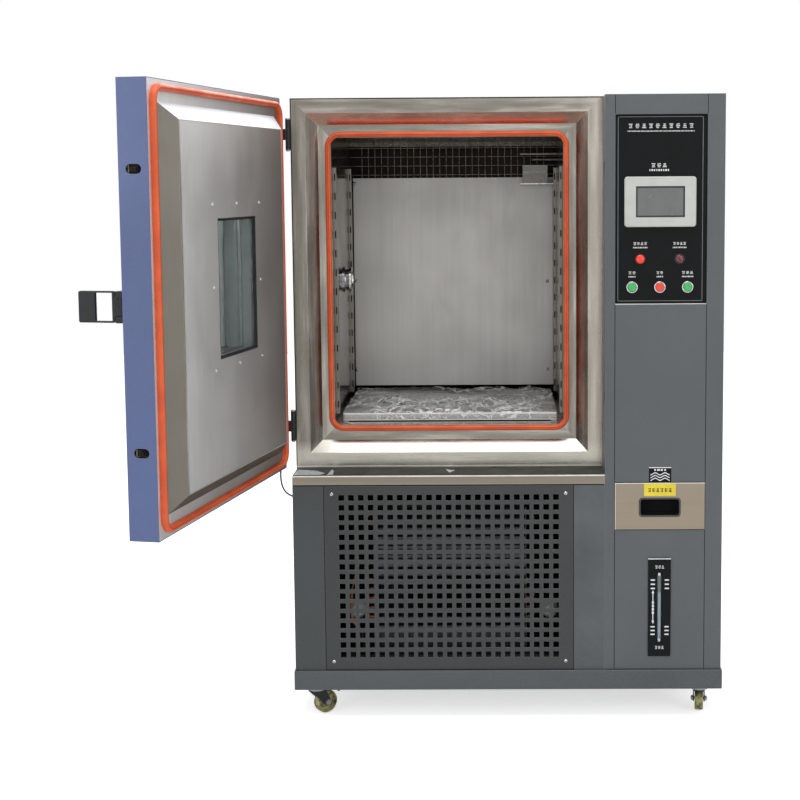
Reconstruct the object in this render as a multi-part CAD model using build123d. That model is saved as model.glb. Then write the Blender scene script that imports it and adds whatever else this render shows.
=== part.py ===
"""A free-standing environmental test chamber with its door swung open.

Millimetres. X runs to the right as seen from the front, Y to the back, Z up. The origin is on the
floor, below the middle of the chamber and in the plane of the control column's front.
"""

import os
from math import radians, tan

from build123d import *

os.makedirs("parts", exist_ok=True)

# The test space and the walls round it
inner_w = 600.0
inner_h = 750.0
inner_d = 500.0
plenum_d = 120.0
wall = 100.0
floor_wall = 106.0
back_wall = 100.0

# The cabinet
caster_h = 82.0
plinth_h = 50.0
plinth_side_lip = 3.0
plinth_front_lip = 6.0
lower_h = 512.0
sill_gap = 6.0
column_w = 300.0
body_d = 950.0
frame_setback = 85.0
sheet = 2.0
touch = 0.3
running = 0.05

# The stainless front frame and its gasket
flat_w = 38.0
bevel_w = 29.0
bevel_d = 30.0
bulb_r = 7.0
bulb_foot = 6.5
bulb_from_edge = 8.0
gasket_corner_r = 32.0

# The door
door_open_deg = 101.0
door_t = 66.0
door_front = 2.0
door_hinge_gap = 2.0
door_latch_gap = 2.5
hinge_axis_out = 6.5
plug_margin = 48.0
plug_bevel = 34.0
plug_squeeze = 0.5
door_gasket_in = 18.0
window_w = 235.0
window_h = 315.0
window_up = 28.0
window_wall = 8.0
window_trim = 12.0
pane_t = 4.0

# Hinges
knuckle_r = 6.0
pin_r = 3.0
hinge_h = 77.0
hinge_end_h = 24.0
leaf_t = 3.0
hinge_inset = 92.0
frame_leaf_d = 42.0
door_leaf_d = 52.0

# Latch
handle_h = 66.0
handle_t = 10.0
handle_reach = 110.0
grip_d = 36.0
loop_bar = 3.5
handle_root_h = 40.0
handle_pivot_in = 30.0
handle_pivot_out = 14.0
handle_pin_r = 4.0
handle_knuckle_r = 9.0
ear_reach = 27.0
ear_half_w = 12.5
bracket_t = 4.0
handle_up = 9.0
bolt_h = 14.0
bolt_t = 24.0
bolt_l = 40.0
bolt_recess = 3.0
bolt_from_top = 185.0
bolt_from_foot = 186.0
slot_w = 34.0
slot_h = 20.0
keeper_h = 38.0
keeper_w = 28.0

# Lower front and its ventilation grille
post_w = 79.0
sill_lip_h = 24.0
grille_cols = 23
grille_rows = 17
grille_pitch_x = 25.0
grille_pitch_z = 25.8
grille_hole = 15.0
grille_up = 248.0
panel_gap = 1.5
seat_w = 34.0

# Control column front
stile_left = 25.0
stile_right = 44.0
column_top_rail = 50.0
return_d = 20.0
control_h = 473.0
control_recess = 5.0
control_t = 3.0
upper_panel_h = 454.0
panel_seam = 5.0
drawer_h = 121.0
column_offset = -2.5
bezel_w = 180.0
bezel_h = 126.0
bezel_t = 8.0
bezel_down = 218.0
screen_w = 123.0
screen_h = 78.0
housing_w = 160.0
housing_h = 106.0
housing_d = 55.0
lamp_down = 362.0
lamp_half_pitch = 49.5
button_down = 433.0
button_pitch = 70.0
cap_r = 11.0
ring_r = 14.8
ring_t = 4.0
cap_proud = 6.0
cap_l = 16.0
slide_clear = 0.1
gauge_w = 58.0
gauge_h = 258.0
gauge_up = 165.0
gauge_t = 3.0
tube_r = 5.7
tube_h = 187.0

# Water drawer
drawer_proud = 2.0
drawer_front_t = 6.0
tray_w = 196.0
tray_d = 286.0
tray_up = 12.0
tray_down = 16.5
runner_past = 50.0
pull_w = 103.0
pull_h = 46.0
pull_d = 22.0
pull_r = 7.0
pull_down = 63.5

# Inside the chamber
baffle_side_gap = 7.0
baffle_low = 34.0
baffle_high = 103.0
standard_w = 22.0
standard_t = 8.0
standard_pitch = 50.0
slot_margin = 100.0
coil_up = 60.0
coil_below_heater = 58.0
heater_n = 4
heater_pitch = 22.0
heater_below_fan = 40.0
port_r = 25.0
port_wall = 2.0
port_y = 395.0
port_up = 365.0
port_flange_in = 35.0
port_flange_out = 40.0
port_flange_t = 4.0
shelf_w = 570.0
shelf_front = 60.0
shelf_h = 20.0
film_t = 0.8
fan_r = 110.0
fan_d = 52.0
fan_down = 206.0
shaft_r = 6.0
motor_r = 68.0

# Machine compartment
louvre_up = 260.0
condenser_w = 400.0
condenser_h = 330.0
condenser_d = 60.0
condenser_y = 60.0
fin_n = 14
cool_fan_r = 130.0
compressor_r = 105.0
compressor_h = 290.0
compressor_left = 60.0
compressor_back = 330.0

# Casters
wheel_r = 30.0
wheel_w = 22.0
axle_r = 4.0
axle_clear = 0.1
trail = 24.0
fork_t = 3.0
caster_plate = 66.0
caster_plate_t = 4.0
caster_inset = 52.0
caster_headings = {
    "front_left": 215.0,
    "front_right": 262.0,
    "rear_left": 35.0,
    "rear_right": 80.0,
}

# Door cable, its bends given from the left side and from the foot of the frame
cable_d = 4.5
cable_bends = [(-0.7, 36.0, -67.0), (-41.0, 44.0, -60.0), (-38.0, 66.0, -1.0)]

# Planes and edges that follow
left_x = -(inner_w / 2 + wall)
right_x = inner_w / 2 + wall
column_x = right_x + column_w
body_z = caster_h + plinth_h
sill_z = body_z + lower_h
frame_z = sill_z + sill_gap
floor_z = frame_z + floor_wall
ceiling_z = floor_z + inner_h
top_z = ceiling_z + wall
step_y = frame_setback + bevel_d
liner_y = step_y + sheet
baffle_y = step_y + inner_d
liner_back = baffle_y + plenum_d
baffle_x = inner_w / 2 - baffle_side_gap
foam_back = liner_back + sheet + back_wall
mid_z = (floor_z + ceiling_z) / 2
door_x0 = left_x + door_hinge_gap
door_x1 = right_x - door_latch_gap
door_back = door_front + door_t
plug_y = step_y - 2 * bulb_r - plug_squeeze
hinge_x = left_x - hinge_axis_out
hinge_axis = Axis((hinge_x, frame_setback, 0), (0, 0, 1))
window_z = (frame_z + top_z) / 2 + window_up
open_x0 = right_x + stile_left
open_x1 = column_x - stile_right
open_mid = (open_x0 + open_x1) / 2
open_top = top_z - column_top_rail
control_mid = open_mid + column_offset
control_z0 = open_top - control_h
upper_z1 = control_z0 - panel_seam
upper_z0 = upper_z1 - upper_panel_h
drawer_z1 = upper_z0 - panel_gap
drawer_z0 = drawer_z1 - drawer_h
lower_z1 = drawer_z0 - panel_gap
lower_z0 = body_z + panel_gap
grille_x = inner_w / 2 + wall - post_w - panel_gap
grille_z = body_z + grille_up
grille_z1 = sill_z - sill_lip_h - 2 * panel_gap
bezel_z = open_top - bezel_down
lamp_z = open_top - lamp_down
button_z = open_top - button_down
gauge_z = body_z + gauge_up
tray_z0 = drawer_z0 + tray_up
tray_z1 = drawer_z1 - tray_down
pull_z = drawer_z1 - pull_down
port_z = floor_z + port_up
fan_z = ceiling_z - fan_down
heater_z = fan_z - fan_r - heater_below_fan
heater_low = heater_z - heater_pitch * (heater_n - 1)
slot_n = int((inner_h - slot_margin) / standard_pitch)
handle_z = (frame_z + top_z) / 2 + handle_up
bolt_zs = (top_z - bolt_from_top, frame_z + bolt_from_foot)
cable_points = [(left_x + x, y, frame_z + z) for x, y, z in cable_bends]
control_y = control_recess


def save(name, shape):
    """Write one piece to its own STEP file."""
    export_step(shape, f"parts/{name}.step")
    print(f"{name}: {len(shape.solids())} solid(s), {shape.volume / 1000:.1f} cm3")


def group(*pieces):
    """Several solids that share one file."""
    return Compound([s for piece in pieces for s in piece.solids()])


def slab(x, y, z):
    """A block between two x, two y and two z values."""
    middle = Pos((x[0] + x[1]) / 2, (y[0] + y[1]) / 2, (z[0] + z[1]) / 2)
    return middle * Box(x[1] - x[0], y[1] - y[0], z[1] - z[0])


def plate_xz(outline, y0, y1):
    """An outline drawn in X and Z, extruded from y0 back to y1."""
    return extrude(Plane.XZ.offset(-y0) * outline, amount=-(y1 - y0))


def rod_y(x, z, r, y0, y1):
    """A round bar along Y."""
    return plate_xz(Pos(x, z) * Circle(r), y0, y1)


def rod_x(y, z, r, x0, x1):
    """A round bar along X."""
    return Plane(origin=(x0, y, z), z_dir=(1, 0, 0)) * extrude(Circle(r), amount=x1 - x0)


def rod_z(x, y, r, z0, z1):
    """A round bar along Z."""
    return Pos(x, y, z0) * extrude(Circle(r), amount=z1 - z0)


def frame_rect(x0, x1, z0, z1):
    """A rectangle between two x and two z values, as a sketch."""
    return Pos((x0 + x1) / 2, (z0 + z1) / 2) * Rectangle(x1 - x0, z1 - z0)


def opened(shape):
    """Swing a piece of the closed door to where the door stands."""
    return shape.rotate(hinge_axis, -door_open_deg)


def base_frame():
    """Folded plinth: a deck, four walls and a flange below that the casters bolt to."""
    x = (left_x - plinth_side_lip, column_x + plinth_side_lip)
    y = (-plinth_front_lip, body_d)
    t = 3.0
    flange = caster_inset + caster_plate / 2 + 5
    body = slab(x, y, (caster_h, body_z))
    body -= slab((x[0] + t, x[1] - t), (y[0] + t, y[1] - t), (caster_h + t, body_z - t))
    body -= slab(
        (x[0] + flange, x[1] - flange), (y[0] + flange, y[1] - flange), (caster_h, caster_h + t)
    )
    return body


def left_side_panel():
    """One sheet down the left, stepped back beside the door, with the hole for the cable port."""
    outline = Polyline(
        (sheet, body_z),
        (body_d - sheet, body_z),
        (body_d - sheet, top_z - sheet),
        (frame_setback + sheet, top_z - sheet),
        (frame_setback + sheet, sill_z),
        (sheet, sill_z),
        close=True,
    )
    side = Plane.YZ.offset(left_x) * make_face(outline)
    panel = extrude(side, amount=sheet)
    return panel - rod_x(port_y, port_z, port_r + port_wall + running, left_x, left_x + sheet)


def right_side_panel():
    """The column's right side."""
    return slab((column_x - sheet, column_x), (sheet, body_d - sheet), (body_z, top_z - sheet))


def top_panel():
    """The lid, stepped back over the chamber's frame."""
    outline = Polyline(
        (left_x, frame_setback + sheet),
        (right_x, frame_setback + sheet),
        (right_x, sheet),
        (column_x, sheet),
        (column_x, body_d - sheet),
        (left_x, body_d - sheet),
        close=True,
    )
    return extrude(Pos(0, 0, top_z - sheet) * make_face(outline), amount=sheet)


def rear_panel():
    """The back, with louvre slots behind the machine compartment."""
    outline = frame_rect(left_x, column_x, body_z, top_z)
    slot = SlotOverall(150, 12)
    places = GridLocations(210, 36, 3, 9)
    louvres = Pos(0, body_z + louvre_up) * places * slot
    return plate_xz(outline - louvres, body_d - sheet, body_d)


def lower_front_frame():
    """Two posts and the seat behind the grille panel."""
    z0, z1 = body_z, sill_z - sill_lip_h - panel_gap
    inner_x = grille_cols * grille_pitch_x / 2 - 1.0
    inner_z = grille_rows * grille_pitch_z / 2 - 1.0
    seat = frame_rect(left_x + sheet, right_x, z0, z1)
    seat -= frame_rect(-inner_x, inner_x, grille_z - inner_z, grille_z + inner_z)
    frame = plate_xz(seat, sheet, 2 * sheet)
    frame += slab((left_x, left_x + post_w), (0, sheet), (z0, z1))
    frame += slab((right_x - post_w, right_x), (0, sheet), (z0, z1))
    low, high = grille_z - inner_z, grille_z + inner_z
    fold = frame_rect(-inner_x - sheet, inner_x + sheet, low - sheet, high + sheet)
    fold -= frame_rect(-inner_x, inner_x, low, high)
    return frame + plate_xz(fold, 2 * sheet, seat_w)


def grille_panel():
    """The ventilation panel, punched with a square pattern of square holes."""
    outline = frame_rect(-grille_x, grille_x, body_z + panel_gap, grille_z1)
    places = GridLocations(grille_pitch_x, grille_pitch_z, grille_cols, grille_rows)
    holes = Pos(0, grille_z) * places * Rectangle(grille_hole, grille_hole)
    return plate_xz(outline - holes, 0, sheet)


def ledge_sill():
    """The stainless sill below the door: a front lip, a top and a turned-up back edge."""
    back = frame_setback + sheet
    profile = Polyline(
        (0, sill_z - sill_lip_h),
        (0, sill_z),
        (frame_setback, sill_z),
        (frame_setback, frame_z),
        (back, frame_z),
        (back, sill_z - sheet),
        (sheet, sill_z - sheet),
        (sheet, sill_z - sill_lip_h),
        close=True,
    )
    bar = Plane.YZ.offset(left_x + sheet) * make_face(profile)
    sill = extrude(bar, amount=right_x - left_x - sheet)
    end = slab((left_x, left_x + sheet), (0, sheet), (sill_z - sill_lip_h, sill_z))
    return sill + end


def front_face_solid(setback):
    """The space behind the frame's pressed front, from a given setback."""
    y0 = frame_setback + setback
    body = slab((left_x, right_x), (y0, step_y + setback), (frame_z, top_z))
    mouth = frame_rect(left_x + flat_w, right_x - flat_w, frame_z + flat_w, top_z - flat_w)
    inset = flat_w + bevel_w
    seat = frame_rect(left_x + inset, right_x - inset, frame_z + inset, top_z - inset)
    front = Plane.XZ.offset(-y0) * mouth
    back = Plane.XZ.offset(-(step_y + setback)) * seat
    return body - loft([front, back])


def chamber_front_frame():
    """Pressed stainless frame: flat border, mitred bevel and the step the gasket sits on."""
    body = slab((left_x, right_x), (step_y, step_y + sheet), (frame_z, top_z))
    body -= slab((-inner_w / 2, inner_w / 2), (step_y, step_y + sheet), (floor_z, ceiling_z))
    skin = front_face_solid(0) + body
    return skin - front_face_solid(sheet)


def gasket_loop(w, h, corner, y, toward_back):
    """A bulb seal with a flat foot, laid round a rounded rectangle about the origin of X and Z."""
    path = Plane.XZ.offset(-y) * RectangleRounded(w, h, corner).wire()
    turn = 1 if toward_back else -1
    foot = bulb_foot
    start = Plane(origin=(w / 2, y, 0), x_dir=(1, 0, 0), z_dir=(0, 0, 1))
    profile = Pos(0, turn * foot / 2) * Rectangle(2 * bulb_r, foot)
    profile += Pos(0, turn * foot) * Circle(bulb_r)
    profile -= Pos(0, -turn * 50) * Rectangle(100, 100)
    return sweep(start * profile, path=path)


def frame_gasket():
    """The orange seal on the frame's inner step."""
    w = inner_w + 2 * bulb_from_edge
    h = inner_h + 2 * bulb_from_edge
    return Pos(0, 0, mid_z) * gasket_loop(w, h, gasket_corner_r, step_y, False)


def chamber_liner():
    """The stainless inner box, open to the front."""
    half = inner_w / 2
    z = (floor_z - sheet, ceiling_z + sheet)
    box = slab((-half - sheet, half + sheet), (liner_y, liner_back + sheet), z)
    box -= slab((-half, half), (liner_y, liner_back), (floor_z, ceiling_z))
    box -= rod_x(port_y, port_z, port_r + port_wall + running, -half - sheet, -half)
    return box - rod_y(0, fan_z, shaft_r + 3, liner_back, liner_back + sheet)


def chamber_insulation():
    """The foam between the frame, the liner and the outer sheets."""
    half = inner_w / 2 + sheet
    x, z = (left_x + sheet, right_x), (frame_z, top_z - sheet)
    foam = slab(x, (liner_y, foam_back), z)
    foam += front_face_solid(sheet) & slab(x, (0, liner_y), z)
    foam -= slab((-half, half), (0, liner_back + sheet), (floor_z - sheet, ceiling_z + sheet))
    foam -= rod_x(port_y, port_z, port_r + port_wall + running, left_x, -inner_w / 2)
    return foam - rod_y(0, fan_z, shaft_r + 3, liner_back, foam_back)


def back_baffle():
    """The plate in front of the air plenum, short at the top and bottom for the air to pass."""
    z0 = floor_z + baffle_low
    z1 = ceiling_z - baffle_high
    plate = slab((-baffle_x, baffle_x), (baffle_y, baffle_y + 1.5), (z0, z1))
    flange = slab((baffle_x - 1.5, baffle_x), (baffle_y, liner_back - touch), (z0, z1))
    return plate + flange + mirror(flange, about=Plane.YZ)


def outlet_grille():
    """The wire guard over the air outlet, with a strip above it."""
    z0 = ceiling_z - baffle_high
    z1 = ceiling_z - 12
    wire = 2.0
    uprights = [
        slab((x - wire / 2, x + wire / 2), (baffle_y, baffle_y + wire), (z0, z1))
        for x in [-266 + 19 * i for i in range(29)]
    ]
    rails = [
        slab((-inner_w / 2, inner_w / 2), (baffle_y + wire, baffle_y + 2 * wire), (z, z + wire))
        for z in [z0 + 8 + 26 * i for i in range(4)]
    ]
    strip = slab((-inner_w / 2, inner_w / 2), (baffle_y - 1.5, baffle_y + 2 * wire), (z1, ceiling_z))
    return group(*uprights, *rails, strip)


def fan_motor():
    """The motor that drives the circulation fan through the back insulation."""
    flange_r = motor_r + 14
    profile = Polyline(
        (0, 0), (flange_r, 0), (flange_r, 5), (motor_r, 9), (motor_r, 88), (52, 100), (0, 100), close=True
    )
    body = Pos(0, foam_back, fan_z) * revolve(make_face(profile), Axis.Y)
    return body - rod_y(0, fan_z, shaft_r + running, foam_back, foam_back + 40)


def circulation_fan():
    """A centrifugal wheel with curved blades on the motor's shaft."""
    y0 = baffle_y + 22
    disc = rod_y(0, fan_z, fan_r, y0 + fan_d - 2, y0 + fan_d)
    rim = plate_xz(Pos(0, fan_z) * (Circle(fan_r) - Circle(fan_r - 26)), y0, y0 + 2)
    wheel = disc + rim + rod_y(0, fan_z, 20, y0 + fan_d - 24, y0 + fan_d)
    line = ThreePointArc((fan_r - 26, 0), (fan_r - 12, 5), (fan_r - 1, 16))
    far = line @ 1 + Vector(-1.4, 1.2)
    inner = ThreePointArc(far, (fan_r - 12.6, 6.9), (fan_r - 26.4, 1.8))
    blade_face = make_face([line, Line(line @ 1, far), inner, Line(inner @ 1, line @ 0)])
    for i in range(16):
        turned = Pos(0, fan_z) * Rot(0, 0, i * 360 / 16) * blade_face
        wheel += plate_xz(turned, y0 + 1, y0 + fan_d - 1)
    return wheel + rod_y(0, fan_z, shaft_r, y0 + fan_d - 2, foam_back + 36)


def heater_coil():
    """Tubular heating rods, bent back and forth in the plenum below the fan."""
    y = baffle_y + 60
    reach = baffle_x - 1.5 - touch
    rods = []
    for i in range(heater_n):
        rods.append(rod_x(y, heater_z - heater_pitch * i, 4, -reach, reach))
    return group(*rods)


def evaporator():
    """The finned cooling coil at the foot of the plenum."""
    z0 = floor_z + coil_up
    z1 = heater_low - coil_below_heater
    y0, y1 = baffle_y + 22, liner_back
    half = baffle_x - 73
    pitch = (z1 - z0 - 30) / 12
    body = slab((-half, -half + 2), (y0, y1), (z0, z1)) + slab((half - 2, half), (y0, y1), (z0, z1))
    for i in range(13):
        z = z0 + 12 + pitch * i
        body += slab((-half + 2, half - 2), (y0 + 10, y1 - 10), (z, z + 1))
    for z in (z0 + 60, z1 - 60):
        body += rod_x((y0 + y1) / 2, z, 5, -half - 30, half + 30)
    return body


def shelf_standards():
    """Four slotted uprights on the side walls and the two angles the lowest shelf runs on."""
    half = inner_w / 2
    z0 = floor_z + 24
    z1 = z0 + slot_n * standard_pitch
    uprights = []
    for y in (liner_y + 48, baffle_y - 58):
        face = frame_rect(y - standard_w / 2, y + standard_w / 2, z0, z1)
        slots = GridLocations(0, standard_pitch, 1, slot_n)
        face -= Pos(y, (z0 + z1) / 2) * slots * Rectangle(7, 18)
        bar = extrude(Plane.YZ.offset(half - standard_t) * face, amount=1.5)
        for side in (-1, 1):
            y_edge = y + side * (standard_w / 2 - 0.75)
            bar += slab((half - standard_t, half), (y_edge - 0.75, y_edge + 0.75), (z0, z1))
        uprights += [bar, mirror(bar, about=Plane.YZ)]
    rail = slab((shelf_w / 2 - 16, half), (liner_y + 20, baffle_y - 6), (floor_z, floor_z + 2 - touch))
    return group(*uprights, rail, mirror(rail, about=Plane.YZ))


def cable_port():
    """The lined hole through the left wall for test leads."""
    x0 = left_x - port_flange_t
    x1 = -inner_w / 2 + port_flange_t
    tube = rod_x(port_y, port_z, port_r + port_wall, x0, x1)
    tube += rod_x(port_y, port_z, port_flange_out, x0, left_x)
    tube += rod_x(port_y, port_z, port_flange_in, -inner_w / 2, x1)
    return tube - rod_x(port_y, port_z, port_r, x0, x1)


def wet_bulb_set():
    """The water cup on its bracket at the top right, and the two sensors that reach in from the wall."""
    half = inner_w / 2
    x0, x1 = half - 96, half - 24
    z0 = ceiling_z - 124
    z1 = z0 + 56
    y0 = baffle_y - 42
    cup = slab((x0, x1), (y0, baffle_y), (z0, z1))
    cup -= slab((x0 + 2, x1 - 2), (y0 + 2, baffle_y - 2), (z0 + 2, z1))
    lip = slab((x0 - 8, half), (y0 - 2, baffle_y), (z0 - 2, z0))
    dry = rod_x(baffle_y - 60, ceiling_z - 36, 3, half - 104, half)
    wet = rod_x(baffle_y - 26, ceiling_z - 52, 3, half - 68, half)
    return group(cup + lip, dry, wet)


def shelf():
    """A folded sheet shelf that slides out over the sill."""
    x = (-shelf_w / 2, shelf_w / 2)
    y = (step_y + shelf_front, baffle_y - 6)
    z = (floor_z + 2, floor_z + 2 + shelf_h)
    body = slab(x, y, z)
    inside = slab((x[0] + 1.5, x[1] - 1.5), (y[0] + 1.5, y[1] - 1.5), (z[0], z[1] - 1.5))
    return body - inside


def shelf_film():
    """The clear film laid over the shelf and turned down over its front edge."""
    x = (-shelf_w / 2, shelf_w / 2)
    y0 = step_y + shelf_front
    top = floor_z + 2 + shelf_h
    film = slab(x, (y0 - film_t, baffle_y - 6), (top, top + film_t))
    return film + slab(x, (y0 - film_t, y0), (top - shelf_h + 3, top))


def door_shell():
    """The painted outer tray of the door, with latch slots in its edge."""
    tray = slab((door_x0, door_x1), (door_front, door_back), (frame_z, top_z))
    x, z = (door_x0 + sheet, door_x1 - sheet), (frame_z + sheet, top_z - sheet)
    tray -= slab(x, (door_front + sheet, door_back), z)
    hole = window_w / 2 + window_wall
    tray -= slab(
        (-hole, hole),
        (door_front, door_front + sheet),
        (window_z - window_h / 2 - window_wall, window_z + window_h / 2 + window_wall),
    )
    for z in bolt_zs:
        tray -= latch_slot(z, door_x1 - sheet, door_x1)
    return tray


def latch_slot(z, x0, x1):
    """The rounded slot that a latch bolt comes through."""
    y = door_front + door_t / 2
    slot = Pos(y, z) * SlotOverall(slot_w, slot_h)
    return extrude(Plane.YZ.offset(x0) * slot, amount=x1 - x0)


def door_plug():
    """The stainless inner panel: a flange over the tray and a bevelled plug that enters the frame."""
    x0, x1 = door_x0 + plug_margin, door_x1 - plug_margin
    z0, z1 = frame_z + plug_margin, top_z - plug_margin
    flange = frame_rect(door_x0 + sheet, door_x1 - sheet, frame_z + sheet, top_z - sheet)
    skin = plate_xz(flange, door_back - sheet, door_back)
    skin += plug_body(x0, x1, z0, z1, 0)
    skin -= plug_body(x0, x1, z0, z1, -sheet)
    window = frame_rect(
        -window_w / 2, window_w / 2, window_z - window_h / 2, window_z + window_h / 2
    )
    return skin - plate_xz(window, 0, step_y)


def plug_body(x0, x1, z0, z1, shift):
    """The tapered block that the plug's skin goes over."""
    foot = frame_rect(x0, x1, z0, z1)
    head = frame_rect(x0 + plug_bevel, x1 - plug_bevel, z0 + plug_bevel, z1 - plug_bevel)
    front = Plane.XZ.offset(-(door_back + shift)) * foot
    back = Plane.XZ.offset(-(plug_y + shift)) * head
    return loft([front, back])


def door_insulation():
    """The foam that fills the tray and the plug, round the window and behind the bolts."""
    x = (door_x0 + sheet, door_x1 - sheet)
    foam = slab(x, (door_front + sheet, door_back - sheet), (frame_z + sheet, top_z - sheet))
    x0, x1 = door_x0 + plug_margin, door_x1 - plug_margin
    foam += plug_body(x0, x1, frame_z + plug_margin, top_z - plug_margin, -sheet)
    hole = window_w / 2 + window_wall
    foam -= slab(
        (-hole, hole),
        (0, step_y),
        (window_z - window_h / 2 - window_wall, window_z + window_h / 2 + window_wall),
    )
    y = door_front + door_t / 2
    for z in bolt_zs:
        pocket_l = bolt_l + bolt_recess + 6
        foam -= slab(
            (door_x1 - sheet - pocket_l, door_x1),
            (y - bolt_t / 2 - touch, y + bolt_t / 2 + touch),
            (z - bolt_h / 2 - touch, z + bolt_h / 2 + touch),
        )
    return foam


def door_gasket():
    """The orange seal round the door, outside the plug."""
    w = door_x1 - door_x0 - 2 * door_gasket_in
    h = top_z - frame_z - 2 * door_gasket_in
    middle = Pos((door_x0 + door_x1) / 2, 0, (frame_z + top_z) / 2)
    return middle * gasket_loop(w, h, gasket_corner_r, door_back, True)


def window_frame():
    """The black lining of the window with its outside trim."""
    outer = frame_rect(
        -window_w / 2 - window_wall,
        window_w / 2 + window_wall,
        window_z - window_h / 2 - window_wall,
        window_z + window_h / 2 + window_wall,
    )
    inner = frame_rect(-window_w / 2, window_w / 2, window_z - window_h / 2, window_z + window_h / 2)
    side = window_wall + window_trim
    trim = Pos(0, window_z) * RectangleRounded(window_w + 2 * side, window_h + 2 * side, 10)
    lining = plate_xz(outer - inner, door_front, plug_y - sheet)
    return lining + plate_xz(trim - inner, door_front - 4, door_front)


def window_panes():
    """Three sheets of glass with air between them."""
    half = window_w / 2 - touch
    z = (window_z - window_h / 2 + touch, window_z + window_h / 2 - touch)
    ys = [door_front + 2, (door_front + plug_y) / 2, plug_y - 3 * sheet - pane_t]
    return group(*[slab((-half, half), (y, y + pane_t), z) for y in ys])


def hinge_levels():
    """Heights of the two hinges' middles."""
    return (frame_z + hinge_inset + 18, top_z - hinge_inset)


def hinge_frame_leaves():
    """The cabinet's half of each hinge: a leaf on the side, two knuckles and the pin."""
    pieces = []
    for z in hinge_levels():
        z0, z1 = z - hinge_h / 2, z + hinge_h / 2
        leaf = slab(
            (left_x - leaf_t, left_x),
            (frame_setback + knuckle_r - 2, frame_setback + frame_leaf_d),
            (z0, z1),
        )
        leaf += rod_z(hinge_x, frame_setback, knuckle_r, z0, z0 + hinge_end_h)
        leaf += rod_z(hinge_x, frame_setback, knuckle_r, z1 - hinge_end_h, z1)
        leaf -= slab(
            (left_x - leaf_t, left_x),
            (frame_setback - knuckle_r, frame_setback + knuckle_r + touch),
            (z0 + hinge_end_h, z1 - hinge_end_h),
        )
        pieces.append(leaf + rod_z(hinge_x, frame_setback, pin_r, z0 - 2, z1 + 2))
    return group(*pieces)


def door_hardware():
    """The door's half of each hinge, and the bracket that the latch handle turns in."""
    pieces = []
    for z in hinge_levels():
        z0 = z - hinge_h / 2 + hinge_end_h + touch
        z1 = z + hinge_h / 2 - hinge_end_h - touch
        leaf = slab((door_x0 - leaf_t, door_x0), (door_back - door_leaf_d, door_back), (z0 - 18, z1 + 18))
        arm = slab((door_x0 - leaf_t, door_x0), (door_back, frame_setback - knuckle_r + 1.5), (z0, z1))
        wrap_y = (frame_setback - knuckle_r, frame_setback - knuckle_r + leaf_t)
        wrap = slab((hinge_x, door_x0), wrap_y, (z0, z1))
        knuckle = rod_z(hinge_x, frame_setback, knuckle_r, z0, z1)
        half = leaf + arm + wrap + knuckle
        pieces.append(half - rod_z(hinge_x, frame_setback, pin_r + running, z0, z1))
    x = door_x1 - handle_pivot_in
    reach = door_front - ear_reach
    bracket = slab(
        (x - ear_half_w, x + ear_half_w),
        (door_front - bracket_t, door_front),
        (handle_z - handle_h / 2, handle_z + handle_h / 2),
    )
    for side in (-1, 1):
        z_in = handle_z + side * (handle_root_h / 2 + touch)
        z_out = handle_z + side * handle_h / 2
        z = (min(z_in, z_out), max(z_in, z_out))
        ear = slab((x - ear_half_w, x + ear_half_w), (reach, door_front), z)
        bracket += fillet(ear.edges().filter_by(Axis.Z).group_by(Axis.Y)[0], 8)
    pivot_y = door_front - handle_pivot_out
    bracket -= rod_z(x, pivot_y, handle_pin_r + running, handle_z - handle_h / 2, handle_z + handle_h / 2)
    return group(*pieces, bracket)


def handle():
    """A flat loop handle on an upright pin, swung out from the door."""
    x = door_x1 - handle_pivot_in
    pivot_y = door_front - handle_pivot_out
    tip_y = door_front - handle_reach
    root_y = door_front - ear_reach - 2
    z = (handle_z - handle_h / 2, handle_z + handle_h / 2)
    loop = RectangleRounded(root_y - tip_y, handle_h, 4)
    gap = Rectangle(root_y - tip_y - grip_d - 6, handle_h - 2 * loop_bar)
    shape = Pos((root_y + tip_y) / 2, handle_z) * loop
    shape -= Pos((root_y - 6 + tip_y + grip_d) / 2, handle_z) * gap
    blade = extrude(Plane.YZ.offset(x - handle_t / 2) * shape, amount=handle_t)
    root = slab(
        (x - handle_t / 2, x + handle_t / 2),
        (root_y - 3, pivot_y),
        (handle_z - handle_root_h / 2, handle_z + handle_root_h / 2),
    )
    z0, z1 = handle_z - handle_root_h / 2, handle_z + handle_root_h / 2
    knuckle = rod_z(x, pivot_y, handle_knuckle_r, z0, z1)
    return blade + root + knuckle + rod_z(x, pivot_y, handle_pin_r, z[0], z[1])


def latch_bolts():
    """The two sliding bolts in the door's edge, drawn in."""
    y = door_front + door_t / 2
    tip = door_x1 - bolt_recess
    bolts = []
    for z in bolt_zs:
        bolt = slab((tip - bolt_l, tip), (y - bolt_t / 2, y + bolt_t / 2), (z - bolt_h / 2, z + bolt_h / 2))
        bolts.append(chamfer(bolt.edges().filter_by(Axis.Z).group_by(Axis.X)[-1], 4))
    return group(*bolts)


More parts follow.
